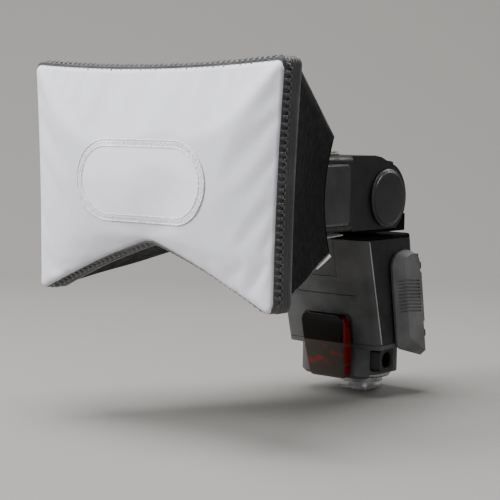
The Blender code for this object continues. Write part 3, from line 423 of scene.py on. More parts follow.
FINISHES = {
    "front": Moulding((0.062, 0.062, 0.063), 0.6, coat=0.02),
    "side": Moulding((0.0065, 0.0065, 0.007), 0.5, coat=0.02, shine=0.35),
    "deck": Moulding((0.004, 0.004, 0.0045), 0.85, shine=0.05),
    "head": Moulding((0.006, 0.006, 0.0065), 0.5, coat=0.0, shine=0.4),
    "disc": Moulding((0.013, 0.013, 0.014), 0.4, grain=0.0002, coat=0.08),
    "grip": Moulding((0.034, 0.034, 0.035), 0.42, grain=0.0002, depth=0.00002, coat=0.1),
    "door": Moulding((0.115, 0.115, 0.118), 0.5, coat=0.04),
    "window": Moulding((0.03, 0.03, 0.032), 0.35, grain=0.0002, depth=0.00001, coat=0.3),
    "key": Moulding((0.06, 0.06, 0.062), 0.5),
    # near black: own colour of the capacitor and index lines, and painted shade for the tube round the
    # red window
    "black_and_painted_shade": Moulding((0.002, 0.002, 0.002), 0.6),
    # painted highlight: light grey gloss for the seam beads, standing in for the highlight on the
    # shell's rounded seam edge
    "seam": Moulding((0.42, 0.42, 0.425), 0.2, grain=0.0003, depth=0.00001, coat=0.7),
    "screen": Moulding((0.2, 0.23, 0.19), 0.25, grain=0.0004, depth=0.000005, coat=0.5),
    "segment": Moulding((0.02, 0.022, 0.02), 0.4, depth=0.000005),
    "vinyl": CoatedCloth((0.003, 0.003, 0.0042), 0.72, shine=0.09),
    "band": CoatedCloth((0.05, 0.05, 0.052), 0.42, thread=0.0005),
    "piping": CoatedCloth((0.11, 0.11, 0.115), 0.22, thread=0.0005),
    "lining": Nylon((0.82, 0.82, 0.78), (0.76, 0.76, 0.7), through=0.1),
    "diffuser": Nylon((0.83, 0.835, 0.92), (0.79, 0.795, 0.885)),
    "patch": Nylon((0.89, 0.88, 0.97), (0.85, 0.85, 0.95)),
    "braid": Thread((0.12, 0.12, 0.124), 0.28),
    "thread_white": Thread((0.97, 0.97, 1.0), 0.45),
    "pile": Thread((0.24, 0.23, 0.2), 0.8),
    "steel": Metal((0.62, 0.62, 0.63), 0.3),
    "knurl": Metal((0.42, 0.42, 0.43), 0.3),
    "mirror": Metal((0.85, 0.85, 0.87), 0.12),
    "brass": Metal((0.75, 0.58, 0.28), 0.28),
    "lens": Clear((0.9, 0.93, 0.95), 0.05, 0.95, ridge=0.0011),
    "clear": Clear((0.93, 0.95, 0.96), 0.05, 0.95),
    # red window: its colours are painted reflections, painted glow and painted light on its cut sides
    "red": AssistWindow(0.032),
    "glow": Clear((0.75, 0.05, 0.02), 0.1, 0.2),
    "lcd": Clear((0.35, 0.38, 0.34), 0.03, 0.85),
    "amber": Clear((0.8, 0.3, 0.12), 0.25, 0.3),
    "board": Moulding((0.01, 0.09, 0.03), 0.35, coat=0.3),
    "sleeve": Moulding((0.05, 0.08, 0.2), 0.3, coat=0.4),
    "floor": Paper((0.27, 0.262, 0.248)),
}


class Palette:
    """Makes each finish's material once and hands it out."""

    def __init__(self) -> None:
        """Start with no materials made."""
        self.made: dict[str, bpy.types.Material] = {}

    def get(self, name: str) -> bpy.types.Material:
        """Return the material of a named finish."""
        if name not in self.made:
            self.made[name] = FINISHES[name].material(f"finish_{name}")
        return self.made[name]


PALETTE = Palette()


class Maker:
    """Builds meshes and sets them on the frame's bodies."""

    @staticmethod
    def piece(
        name: str, verts: list[Vector], faces: list[Face], finish: str, sharp: float = 40.0
    ) -> bpy.types.Object:
        """Make a mesh piece.

        Args:
            name: The piece's name.
            verts: Its corners in metres.
            faces: Corner numbers of each face.
            finish: Name of its finish.
            sharp: The angle in degrees past which an edge stays sharp.

        Returns:
            The new object.
        """
        mesh = bpy.data.meshes.new(name)
        mesh.from_pydata([tuple(v) for v in verts], [], faces)
        mesh.update()
        mesh.shade_smooth()
        mesh.set_sharp_from_angle(angle=math.radians(sharp))
        piece = bpy.data.objects.new(name, mesh)
        bpy.context.scene.collection.objects.link(piece)
        mesh.materials.append(PALETTE.get(finish))
        return piece

    @staticmethod
    def settle(piece: bpy.types.Object, body: str, slot: str, *nodes: str) -> bpy.types.Object:
        """Let a piece ride on a body, in place of the nodes named."""
        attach(piece, body)
        if nodes:
            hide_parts(*nodes)
        LOG.info("%s: %d corners on %s", piece.name, len(piece.data.vertices), body)
        return piece

    @staticmethod
    def rings(loops: list[list[Vector]], closed: bool = False, caps: bool = True) -> Skin:
        """Join rings of points into a skin.

        Args:
            loops: Rings with the same number of points.
            closed: Whether the last ring joins the first.
            caps: Whether the ends of an open run are closed.

        Returns:
            Corners and faces.
        """
        count = len(loops[0])
        verts = [point for loop in loops for point in loop]
        faces: list[Face] = []
        total = len(loops) if closed else len(loops) - 1
        for r in range(total):
            low, high = r * count, ((r + 1) % len(loops)) * count
            for i in range(count):
                j = (i + 1) % count
                faces.append((low + i, low + j, high + j, high + i))
        if caps and not closed:
            faces.append(tuple(range(count))[::-1])
            faces.append(tuple((len(loops) - 1) * count + i for i in range(count)))
        return verts, faces

    @staticmethod
    def tube(
        points: list[Vector], radius: float, sides: int = 8, closed: bool = False, taper: bool = False
    ) -> Skin:
        """Skin of a round tube along points.

        Args:
            points: The centreline.
            radius: The tube's radius.
            sides: Corners of its section.
            closed: Whether it runs round to its start.
            taper: Whether its ends close to a rounded point.

        Returns:
            Corners and faces.
        """
        loops = []
        last = len(points) - 1
        side = None
        for i, point in enumerate(points):
            ahead = points[(i + 1) % len(points)] if closed else points[min(i + 1, last)]
            behind = points[i - 1] if closed else points[max(i - 1, 0)]
            along = (ahead - behind).normalized()
            if side is None:
                side = along.orthogonal().normalized()
            side = (side - along * side.dot(along)).normalized()
            other = along.cross(side)
            size = radius * 0.35 if taper and i in (0, last) else radius
            turns = [2 * math.pi * k / sides for k in range(sides)]
            loops.append([point + (side * math.cos(t) + other * math.sin(t)) * size for t in turns])
        return Maker.rings(loops, closed)

    @staticmethod
    def bundle(name: str, parts: list[Skin], finish: str) -> bpy.types.Object:
        """Make one piece of many separate skins."""
        verts: list[Vector] = []
        faces: list[Face] = []
        for part_verts, part_faces in parts:
            base = len(verts)
            verts.extend(part_verts)
            faces.extend(tuple(base + i for i in face) for face in part_faces)
        return Maker.piece(name, verts, faces, finish, 180.0)

    @staticmethod
    def refine(node: str, finish: str, bevel: float = 0.0004, segments: int = 2) -> bpy.types.Object:
        """Dress a frame node: weld its corners, round its edges and give it a finish.

        Args:
            node: The node's name.
            finish: Name of its finish.
            bevel: Width of the rounded edges in metres, or 0 for none.
            segments: Steps across each rounded edge.

        Returns:
            The node's object.
        """
        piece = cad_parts[node]
        normals = piece.data.attributes.get("custom_normal")
        if normals is not None:
            piece.data.attributes.remove(normals)
        piece.data.shade_smooth()
        weld = piece.modifiers.new("weld", "WELD")
        weld.merge_threshold = 0.000002
        if bevel:
            round_off = piece.modifiers.new("round_edges", "BEVEL")
            round_off.width = bevel
            round_off.segments = segments
            round_off.limit_method = "ANGLE"
            round_off.angle_limit = math.radians(32)
            round_off.miter_outer = "MITER_ARC"
            weighted = piece.modifiers.new("even_shading", "WEIGHTED_NORMAL")
            weighted.weight = 80
        piece.data.materials.clear()
        piece.data.materials.append(PALETTE.get(finish))
        return piece

    @staticmethod
    def solid(
        name: str,
        outline: list[Flat],
        low: float,
        high: float,
        finish: str,
        axis: Axis = Axis.ACROSS,
    ) -> bpy.types.Object:
        """Draw an outline out between two places on an axis: (y, z) across or (x, y) up."""
        if axis is Axis.ACROSS:
            loops = [[Vector((w, u, v)) for u, v in outline] for w in (low, high)]
        else:
            loops = [[Vector((u, v, w)) for u, v in outline] for w in (low, high)]
        return Maker.piece(name, *Maker.rings(loops), finish, 30.0)

    @staticmethod
    def soften(piece: bpy.types.Object, width: float, segments: int = 2) -> bpy.types.Object:
        """Round a piece's sharp edges."""
        change = piece.modifiers.new("round_edges", "BEVEL")
        change.width = width
        change.segments = segments
        change.limit_method = "ANGLE"
        change.angle_limit = math.radians(32)
        return piece


def arc(
    across: float, up: float, radius: float, start: float, end: float, steps: int = 6
) -> list[Flat]:
    """Points of an arc between two angles in degrees."""
    turns = [math.radians(start + (end - start) * i / (steps - 1)) for i in range(steps)]
    return [(across + radius * math.cos(t), up + radius * math.sin(t)) for t in turns]


def rounded(
    low_u: float, high_u: float, low_v: float, high_v: float, radius: float, steps: int = 6
) -> list[Flat]:
    """Outline of a rectangle with round corners."""
    spots = (
        (high_u - radius, high_v - radius, 0),
        (low_u + radius, high_v - radius, 90),
        (low_u + radius, low_v + radius, 180),
        (high_u - radius, low_v + radius, 270),
    )
    return [point for u, v, turn in spots for point in arc(u, v, radius, turn, turn + 90, steps)]


def measured(points: list[Vector], step: float) -> list[tuple[Vector, Vector]]:
    """Walk a closed path in even steps.

    Args:
        points: The path.
        step: Distance between places.

    Returns:
        Place and direction at each step.
    """
    run = points + [points[0]]
    lengths = [0.0]
    for a, b in zip(run, run[1:]):
        lengths.append(lengths[-1] + (b - a).length)
    count = max(2, round(lengths[-1] / step))
    found, leg = [], 0
    for i in range(count):
        want = lengths[-1] * i / count
        while lengths[leg + 1] < want:
            leg += 1
        share = (want - lengths[leg]) / max(1e-9, lengths[leg + 1] - lengths[leg])
        found.append((run[leg].lerp(run[leg + 1], share), (run[leg + 1] - run[leg]).normalized()))
    return found


def zigzag(
    name: str,
    path: list[Vector],
    pitch: float,
    width: float,
    radius: float,
    out: Vector,
    finish: str,
) -> bpy.types.Object:
    """Sew a closed zigzag row of thread along a path.

    Args:
        name: The piece's name.
        path: Where the row runs.
        pitch: Length of one stitch.
        width: How far the stitch reaches across the path.
        radius: The thread's radius.
        out: Direction that points away from the cloth.
        finish: Name of the thread's finish.

    Returns:
        The row of stitches.
    """
    parts = []
    for i, (spot, along) in enumerate(measured(path, pitch)):
        across = along.cross(out).normalized() * width * (1 if i % 2 else -1)
        half = along * (pitch * 0.46)
        run = [spot - half - across, spot + out * radius, spot + half + across]
        parts.append(Maker.tube(run, radius, 5, taper=True))
    return Maker.bundle(name, parts, finish)


@dataclass
class SoftboxOutline:
    """Five-sided mouth of the softbox: its sides pull in a little between rounded corners."""

    half: float
    low_half: float
    top: float
    low: float
    apex: float
    top_sag: float = 3.2 * MM
    side_sag: float = 1.0 * MM
    notch_sag: float = 1.6 * MM
    corners: tuple[float, ...] = (4.0 * MM, 4.0 * MM, 7.0 * MM, 6.0 * MM, 7.0 * MM)

    def loop(self, inset: float = 0.0, y: float = 0.0) -> list[Vector]:
        """Walk round the mouth.

        Args:
            inset: How far inside the edge to walk.
            y: Depth of the points.

        Returns:
            Points clockwise from the upper left, seen from the front.
        """
        rise = (self.apex - self.low) / self.low_half
        low = self.low + inset * (1.0 + rise)
        half, top, apex = self.half - inset, self.top - inset, self.apex + inset * 1.07
        low_half = self.low_half - inset
        spots = [(-half, top), (half, top), (low_half, low), (0.0, apex), (-low_half, low)]
        sags = (self.top_sag, self.side_sag, self.notch_sag, self.notch_sag, self.side_sag)
        points = []
        for i in range(5):
            here, there, beyond = (Vector((*spots[(i + k) % 5], 0.0)) for k in range(3))
            edge = (there - here).normalized()
            inward = Vector((edge.y, -edge.x, 0.0))
            start = here + edge * self.corners[i]
            end = there - edge * self.corners[(i + 1) % 5]
            for k in range(25):
                share = k / 24
                bow = inward * sags[i] * 4 * share * (1 - share)
                points.append(start.lerp(end, share) + bow)
            onward = there + (beyond - there).normalized() * self.corners[(i + 1) % 5]
            for k in range(1, 6):
                share = k / 6
                points.append(end.lerp(there, share).lerp(there.lerp(onward, share), share))
        return [Vector((p.x, y, p.y)) for p in points]

    def normals(self, loop: list[Vector]) -> list[Vector]:
        """Outward directions along a loop from loop()."""
        found = []
        for i in range(len(loop)):
            along = (loop[(i + 1) % len(loop)] - loop[i - 1]).normalized()
            found.append(Vector((-along.z, 0.0, along.x)).normalized())
        return found

    def inside(self, u: float, v: float, inset: float, from_top: float) -> Flat:
        """Place inside the mouth for u from -1 to 1 across and v from 0 to 1 up."""
        half = self.low_half + (self.half - self.low_half) * v - inset - self.side_sag * 4 * v * (1 - v)
        out = abs(u)
        corner_top, corner_low = self.corners[0], self.corners[2] * 0.8
        top = self.top - from_top - self.top_sag * (1 - u * u)
        top -= self.nook(out * half, half, corner_top)
        blunt = math.sqrt(u * u + 0.0012) - math.sqrt(0.0012) * (1 - out)
        low = self.apex + (
            self.low - self.apex
        ) * blunt + inset * 1.25 + self.notch_sag * 4 * out * (1 - out)
        low += self.nook(out * half, half, corner_low)
        return u * half, low + v * (top - low)

    @staticmethod
    def nook(place: float, half: float, radius: float) -> float:
        """How far a round corner cuts in at a place near the side."""
        reach = place - (half - radius)
        if reach <= 0:
            return 0.0
        return radius - math.sqrt(max(0.0, radius * radius - reach * reach))


@dataclass
class Softbox:
    """Folding softbox: diffuser, edge band, fabric panels with white lining, seams and stitches."""

    body: str = "softbox"
    columns: int = 72
    rows: int = 44
    billow: float = 3.4 * MM
    bead: float = 1.75 * MM
    pitch: float = 3.3 * MM
    cloth: float = 0.8 * MM
    outline: SoftboxOutline = field(init=False)
    face: float = field(init=False)
    back: float = field(init=False)

    def __post_init__(self) -> None:
        """Read the mouth's size and place from the frame."""
        low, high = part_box("softbox_rim")
        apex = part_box("softbox_bottom_right")[1].z - 0.0003
        self.outline = SoftboxOutline(high.x, high.x - 4.0 * MM, high.z, low.z, apex)
        self.face = low.y
        self.back = high.y + 0.3 * MM

    def build(self) -> None:
        """Make every piece of the softbox."""
        diffuser = self.diffuser()
        surface = BVHTree.FromObject(diffuser, bpy.context.evaluated_depsgraph_get())
        self.patch(surface)
        self.band()
        self.binding()
        self.panels()
        self.flap()

    def diffuser(self) -> bpy.types.Object:
        """Front cloth: cut a little large, then let it settle on its pinned edge."""
        inset, from_top = 0.2 * MM, 1.6 * MM
        tuck, lap = 1.6 * MM, 2.6 * MM
        verts, faces = [], []
        for i in range(self.columns + 1):
            share = 2 * i / self.columns - 1
            u = 0.55 * share + 0.45 * math.sin(math.pi * share / 2)
            for j in range(self.rows + 1):
                share = 2 * j / self.rows - 1
                v = 0.5 + 0.5 * (0.6 * share + 0.4 * math.sin(math.pi * share / 2))
                x, z = self.outline.inside(u, v, inset, from_top)
                height = self.outline.top - self.outline.low
                near = min(self.outline.half * (1 - abs(u)), height * 0.8 * min(v, 1 - v)) / lap
                curl = tuck * (1 - min(1.0, near)) ** 2
                bulge = self.billow * (1 - u**4) * math.sin(math.pi * v) ** 0.6
                bulge += 0.35 * MM * math.sin(4.0 * u + 5.0 * v) * math.sin(math.pi * v) * (1 - u * u)
                y = self.face - 1.0 * MM + curl - bulge
                verts.append(Vector((x, y, z)))
        stride = self.rows + 1
        for i in range(self.columns):
            for j in range(self.rows):
                a = i * stride + j
                faces.append((a, a + stride, a + stride + 1, a + 1))
        piece = Maker.piece("diffuser", verts, faces, "diffuser", 180.0)
        rim = [
            k
            for k in range(len(verts)) if k % stride in (0, self.rows) or k // stride in (
                0, self.columns
            )
        ]
        self.settle_cloth(piece, rim)
        thick = piece.modifiers.new("thickness", "SOLIDIFY")
        thick.thickness = 0.35 * MM
        Maker.settle(piece, self.body, "diffuser_cloth", "softbox_diffuser")
        return piece

    def settle_cloth(self, piece: bpy.types.Object, rim: list[int]) -> None:
        """Let the cloth hang from its pinned rim, simulated at ten times its size.

        Args:
            piece: The cloth.
            rim: Its pinned corners.
        """
        grow = 10.0
        start = [vert.co.copy() for vert in piece.data.vertices]
        piece.data.transform(Matrix.Scale(grow, 4))
        group = piece.vertex_groups.new(name="rim")
        group.add(rim, 1.0, "REPLACE")
        cloth = piece.modifiers.new("cloth", "CLOTH")
        cloth.settings.quality = 6
        cloth.settings.mass = 0.3
        cloth.settings.tension_stiffness = 30
        cloth.settings.compression_stiffness = 30
        cloth.settings.shear_stiffness = 12
        cloth.settings.bending_stiffness = 0.6
        cloth.settings.vertex_group_mass = "rim"
        cloth.settings.shrink_min = -0.006
        scene = bpy.context.scene
        usual = tuple(scene.gravity)
        scene.gravity = (0.0, -0.6, -1.6)
        for number in range(1, 22):
            scene.frame_set(number)
        shown = piece.evaluated_get(bpy.context.evaluated_depsgraph_get())
        settled = [vert.co / grow for vert in shown.data.vertices]
        piece.modifiers.remove(cloth)
        scene.frame_set(1)
        scene.gravity = usual
        reach = 3.5 * MM
        for vert, first, last in zip(piece.data.vertices, start, settled):
            moved = last - first
            if moved.length > reach:
                moved = moved.normalized() * reach
            vert.co = first + moved
        piece.data.update()
        LOG.info(
            "diffuser settled, furthest %.2f mm",
            max((a - b).length for a, b in zip(start, settled)) / MM,
        )

    def on_cloth(self, surface: BVHTree, x: float, z: float, lift: float) -> Vector:
        """Place on the diffuser in front of a point of its plane."""
        hit = surface.ray_cast(Vector((x, self.face - 0.1, z)), Vector((0.0, 1.0, 0.0)))[0]
        y = hit.y if hit is not None else self.face
        return Vector((x, y - lift, z))

    def stadium(self, inset: float, step: float = 1.6 * MM) -> list[Flat]:
        """Outline of the oval patch in even steps."""
        low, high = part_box("softbox_oval_patch")
        radius = (high.z - low.z) / 2 - inset - 1e-5
        outline = rounded(low.x + inset, high.x - inset, low.z + inset, high.z - inset, radius, 24)
        return [spot.xz for spot, _ in measured([Vector((x, 0.0, z)) for x, z in outline], step)]

    def patch(self, surface: BVHTree) -> None:
        """Oval second layer sewn to the diffuser with two rows of stitches."""
        low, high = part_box("softbox_oval_patch")
        middle = Vector(((low.x + high.x) / 2, 0.0, (low.z + high.z) / 2))
        edge = [Vector((x, 0.0, z)) for x, z in self.stadium(0.0)]
        loops = []
        count = 9
        for ring in range(count):
            share = 1 - ring / count
            lift = (0.32 + 0.1 * min(1.0, ring * 0.6)) * MM
            loops.append([self.on_cloth(surface, *(middle.lerp(p, share)).xz, lift) for p in edge])
        verts, faces = Maker.rings(loops, caps=False)
        verts.append(self.on_cloth(surface, middle.x, middle.z, 0.4 * MM))
        last = (count - 1) * len(edge)
        faces += [(last + i, last + (i + 1) % len(edge), len(verts) - 1) for i in range(len(edge))]
        piece = Maker.piece("oval_patch", verts, faces, "patch", 180.0)
        Maker.settle(piece, self.body, "diffuser_cloth", "softbox_oval_patch")
        front = Vector((0.0, -1.0, 0.0))
        for name, inset in (("outer", 0.2), ("inner", 3.4)):
            path = [self.on_cloth(surface, x, z, 0.52 * MM) for x, z in self.stadium(inset * MM)]
            row = Maker.piece(
                f"patch_cord_{name}",
                *Maker.tube(path, 0.24 * MM, 6, closed=True),
                "thread_white",
                180.0,
            )
            Maker.settle(row, self.body, "diffuser_cloth")
        path = [self.on_cloth(surface, x, z, 0.5 * MM) for x, z in self.stadium(1.8 * MM)]
        row = zigzag("patch_zigzag", path, 1.3 * MM, 0.9 * MM, 0.16 * MM, front, "thread_white")
        Maker.settle(row, self.body, "diffuser_cloth")

    def profile(self) -> list[Flat]:
        """Section of the edge band as (outward, backward): a flat hem, then three folded strips."""
        points = [(-1.9, 0.6), (-0.6, 0.5), (-0.2, 1.3), (-0.1, 4.0), (-0.1, 6.0)]
        for start in (6.2, 8.3, 10.4):
            points += [(-0.9, start), (0.05, start + 0.4), (0.4, start + 1.0), (0.15, start + 1.8)]
        points += [(-0.7, 12.5), (-1.9, 12.6)]
        return points

    def band(self) -> None:
        """Edge band round the mouth."""
        loop = self.outline.loop(0.0, self.face)
        outward = self.outline.normals(loop)
        loops = []
        for point, normal in zip(loop, outward):
            loops.append(
                [point + normal * a * MM + Vector((0.0, b * MM, 0.0)) for a, b in self.profile()]
            )
        piece = Maker.piece("edge_band", *Maker.rings(loops, closed=True), "band", 50.0)
        Maker.settle(piece, self.body, "black_vinyl", "softbox_rim")
        pipe = [
            p + n * -0.2 * MM + Vector((0.0, self.back - self.face, 0.0)) for p, n in zip(loop, outward)
        ]
        piping = Maker.piece(
            "edge_piping", *Maker.tube(pipe, 0.65 * MM, 8, closed=True), "piping", 180.0
        )
        Maker.settle(piping, self.body, "black_vinyl")

    def binding(self) -> None:
        """Rolled binding along the front edge with its overlock thread and two rows of long stitches."""
        loop = self.outline.loop(2.0 * MM, self.face + 3.0 * MM)
        roll = Maker.piece("edge_roll", *Maker.tube(loop, self.bead, 12, closed=True), "band", 180.0)
        Maker.settle(roll, self.body, "black_vinyl")
        back = Vector((0.0, 1.0, 0.0))
        coil, turns = [], 14
        for i, (spot, along) in enumerate(measured(loop, self.pitch / turns)):
            out = Vector((-along.z, 0.0, along.x))
            turn = 2 * math.pi * i / turns
            reach = self.bead + 0.1 * MM
            coil.append(spot + (out * math.cos(turn) + back * math.sin(turn)) * reach)
        thread = Maker.piece(
            "overlock_coil", *Maker.tube(coil, 0.85 * MM, 6, closed=True), "braid", 180.0
        )
        Maker.settle(thread, self.body, "black_vinyl")
        outward = self.outline.normals(loop)
        for name, depth, radius, phase in (("front", 1.2, 0.8, 0.0), ("back", 2.7, 0.6, 0.5)):
            path = [p + n * 1.95 * MM + back * depth * MM for p, n in zip(loop, outward)]
            parts = []
            spots = measured(path, self.pitch / 2)
            for spot, along in spots[int(2 * phase) :: 2]:
                lift = Vector((-along.z, 0.0, along.x)) * 0.4 * MM
                half = along * 1.15 * MM
                lean = back * 0.45 * MM
                run = [
                    spot - half - lean,
                    spot - half * 0.4 + lift,
                    spot + half * 0.4 + lift,
                    spot + half + lean,
                ]
                parts.append(Maker.tube(run, radius * MM, 6, taper=True))
            row = Maker.bundle(f"edge_stitches_{name}", parts, "braid")
            Maker.settle(row, self.body, "black_vinyl")

    def grid(
        self,
        name: str,
        front: list[Vector],
        rear: list[Vector],
        dip: Vector,
        nodes: tuple[str, ...],
        steps: int = 14,
    ) -> bpy.types.Object:
        """Fabric panel between two edges with the same number of points.

        Args:
            name: The piece's name.
            front: Its front edge.
            rear: Its rear edge.
            dip: How far its middle sinks.
            nodes: Frame nodes that it stands for.
            steps: Rows of faces from front to rear.

        Returns:
            The panel.
        """
        verts, faces = [], []
        count = len(front)
        for r in range(steps + 1):
            share = r / steps
            for i, (a, b) in enumerate(zip(front, rear)):
                along = i / (count - 1)
                sink = math.sin(math.pi * share) * math.sin(math.pi * along)
                ripple = 0.25 * MM * math.sin(9 * share + 7 * along) * math.sin(math.pi * share)
                verts.append(a.lerp(b, share) + dip * sink + dip.normalized() * ripple)
        for r in range(steps):
            for i in range(count - 1):
                a = r * count + i
                faces.append((a, a + 1, a + count + 1, a + count))
        piece = Maker.piece(name, verts, faces, "vinyl", 180.0)
        piece.data.materials.append(PALETTE.get("lining"))
        area = sum(face.area for face in piece.data.polygons)
        middle = verts[(steps // 2) * count + count // 2]
        normal = piece.data.polygons[len(piece.data.polygons) // 2].normal
        thick = piece.modifiers.new("thickness", "SOLIDIFY")
        thick.thickness = self.cloth
        thick.offset = 0.0
        thick.material_offset = 0
        if normal.dot(dip) > 0:
            piece.data.flip_normals()
        Maker.settle(piece, self.body, "black_vinyl", *nodes)
        width = max((front[-1] - front[0]).length, (rear[-1] - rear[0]).length)
        deep = max(
            (rear[0] - front[0]).length, (rear[-1] - front[-1]).length, (middle - front[0]).length
        )
        flat = (width, max(deep, area / width * 1.02))
        self.lining(name, verts, faces, dip, flat)
        return piece

    def lining(
        self,
        name: str,
        verts: list[Vector],
        faces: list[Face],
        dip: Vector,
        flat: Flat,
    ) -> None:
        """White inner layer just inside a panel."""
        inward = dip.normalized() * (self.cloth / 2 + 0.15 * MM)
        piece = Maker.piece(f"{name}_lining", [v + inward for v in verts], faces, "lining", 180.0)
        Maker.settle(piece, self.body, "white_cloth")

    def panels(self) -> None:
        """Top, sides and lower halves with piped seams between them."""
        loop = self.outline.loop(0.8 * MM, self.back)
        top, right, low_right, low_left, left = (loop[30 * i : 30 * i + 25] for i in range(5))
        corners = [(loop[30 * i + 24] + loop[(30 * i + 30) % len(loop)]) / 2 for i in range(5)]
        mouth = {
            "tr": corners[0], "br": corners[1], "apex": corners[2], "bl": corners[3], "tl": corners[4]
        }
        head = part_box("head_housing")
        top_z, low_z = head[1].z + 10.0 * MM, head[0].z - 9.5 * MM
        top_x, low_x = head[1].x + 2.5 * MM, head[1].x + 6.7 * MM
        top_y, low_y = head[1].y - 22.7 * MM, head[1].y - 30.7 * MM
        tail = {
            "tr": Vector((top_x, top_y, top_z)),
            "tl": Vector((-top_x, top_y, top_z)),
            "br": Vector((low_x, low_y, low_z)),
            "bl": Vector((-low_x, low_y, low_z)),
            "apex": Vector((0.0, low_y, self.outline.apex)),
        }

        def edge(first: str, middle: list[Vector], last: str) -> list[Vector]:
            """Front edge from corner to corner."""
            return [mouth[first], *middle[1:-1], mouth[last]]

        def line(first: str, last: str, count: int) -> list[Vector]:
            """Rear edge, drawn in towards the head along the sides."""
            upright = {first, last} in ({"tr", "br"}, {"tl", "bl"})
            inward = Vector((-2.4 if "r" in first + last else 2.4, -3.0, 0.0)) * MM * upright
            shares = [i / (count - 1) for i in range(count)]
            return [tail[first].lerp(tail[last], s) + inward * 4 * s * (1 - s) for s in shares]

        plans = (
            ("softbox_top_panel", "tl", top, "tr", Vector((0, 0, -2.0)), ("softbox_top",)),
            ("softbox_right_panel", "tr", right, "br", Vector((-2.0, 0, 0)), ("softbox_side_right",)),
            ("softbox_left_panel", "bl", left, "tl", Vector((2.0, 0, 0)), ("softbox_side_left",)),
            (
                "softbox_lower_right",
                "br",
                low_right,
                "apex",
                Vector((0.3, 0, 1.2)),
                ("softbox_bottom_right",),
            ),
            (
                "softbox_lower_left",
                "apex",
                low_left,
                "bl",
                Vector((-0.3, 0, 1.2)),
                ("softbox_bottom_left",),
            ),
        )
        for name, first, middle, last, dip, nodes in plans:
            front = edge(first, middle, last)
            self.grid(name, front, line(first, last, len(front)), dip * MM, nodes)
        seams = []
        for key in mouth:
            seams.append(
                Maker.tube([mouth[key].lerp(tail[key], i / 8) for i in range(9)], 0.75 * MM, 8)
            )
        Maker.settle(Maker.bundle("panel_seams", seams, "band"), self.body, "black_vinyl")
        order = ("tl", "tr", "br", "apex", "bl")
        hem = []
        for a, b in zip(order, order[1:] + order[:1]):
            hem += line(a, b, 11)[:-1]
        hem_cord = Maker.piece("rear_hem", *Maker.tube(hem, 0.8 * MM, 8, closed=True), "vinyl", 180.0)
        Maker.settle(hem_cord, self.body, "black_vinyl")
        self.turned_out(tail["br"], mouth["br"])

    def turned_out(self, rear: Vector, front: Vector) -> None:
        """Sliver of white lining that shows below the right panel's rear corner."""
        verts, faces = [], []
        steps = 10
        for i in range(steps + 1):
            share = i / steps
            spot = rear.lerp(front, 0.02 + 0.32 * share) + Vector((0.8, 0.3, 0.1)) * MM
            drop = (1.3 * (1 - share) ** 0.8 + 0.1) * MM
            verts += [spot, spot + Vector((0.5 * MM, 0.6 * MM, -drop))]
        for i in range(steps):
            faces.append((2 * i, 2 * i + 1, 2 * i + 3, 2 * i + 2))
        piece = Maker.piece("lining_edge", verts, faces, "lining", 180.0)
        thick = piece.modifiers.new("thickness", "SOLIDIFY")
        thick.thickness = 0.4 * MM
        Maker.settle(piece, self.body, "white_cloth")

    def flap(self) -> None:
        """White tongue of cloth under the head."""
        low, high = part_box("softbox_flap")
        verts, faces = [], []
        steps, count = 12, 17
        for r in range(steps + 1):
            share = r / steps
            y = low.y + (high.y - low.y) * share
            reach = 1.0 if share < 0.8 else math.sqrt(max(0.0, 1 - ((share - 0.8) / 0.24) ** 2))
            for i in range(count):
                across = 2 * i / (count - 1) - 1
                sag = 0.6 * MM * math.sin(5 * share) + 0.6 * MM * across**4 * share
                side = high.x * (across + 0.16 * across**3) * reach
                verts.append(Vector((side, y + 1.5 * MM * share, (low.z + high.z) / 2 - sag)))
        for r in range(steps):
            for i in range(count - 1):
                a = r * count + i
                faces.append((a, a + 1, a + count + 1, a + count))
        piece = Maker.piece("white_tongue", verts, faces, "lining", 180.0)
        thick = piece.modifiers.new("thickness", "SOLIDIFY")
        thick.thickness = 0.5 * MM
        Maker.settle(piece, self.body, "white_cloth", "softbox_flap")


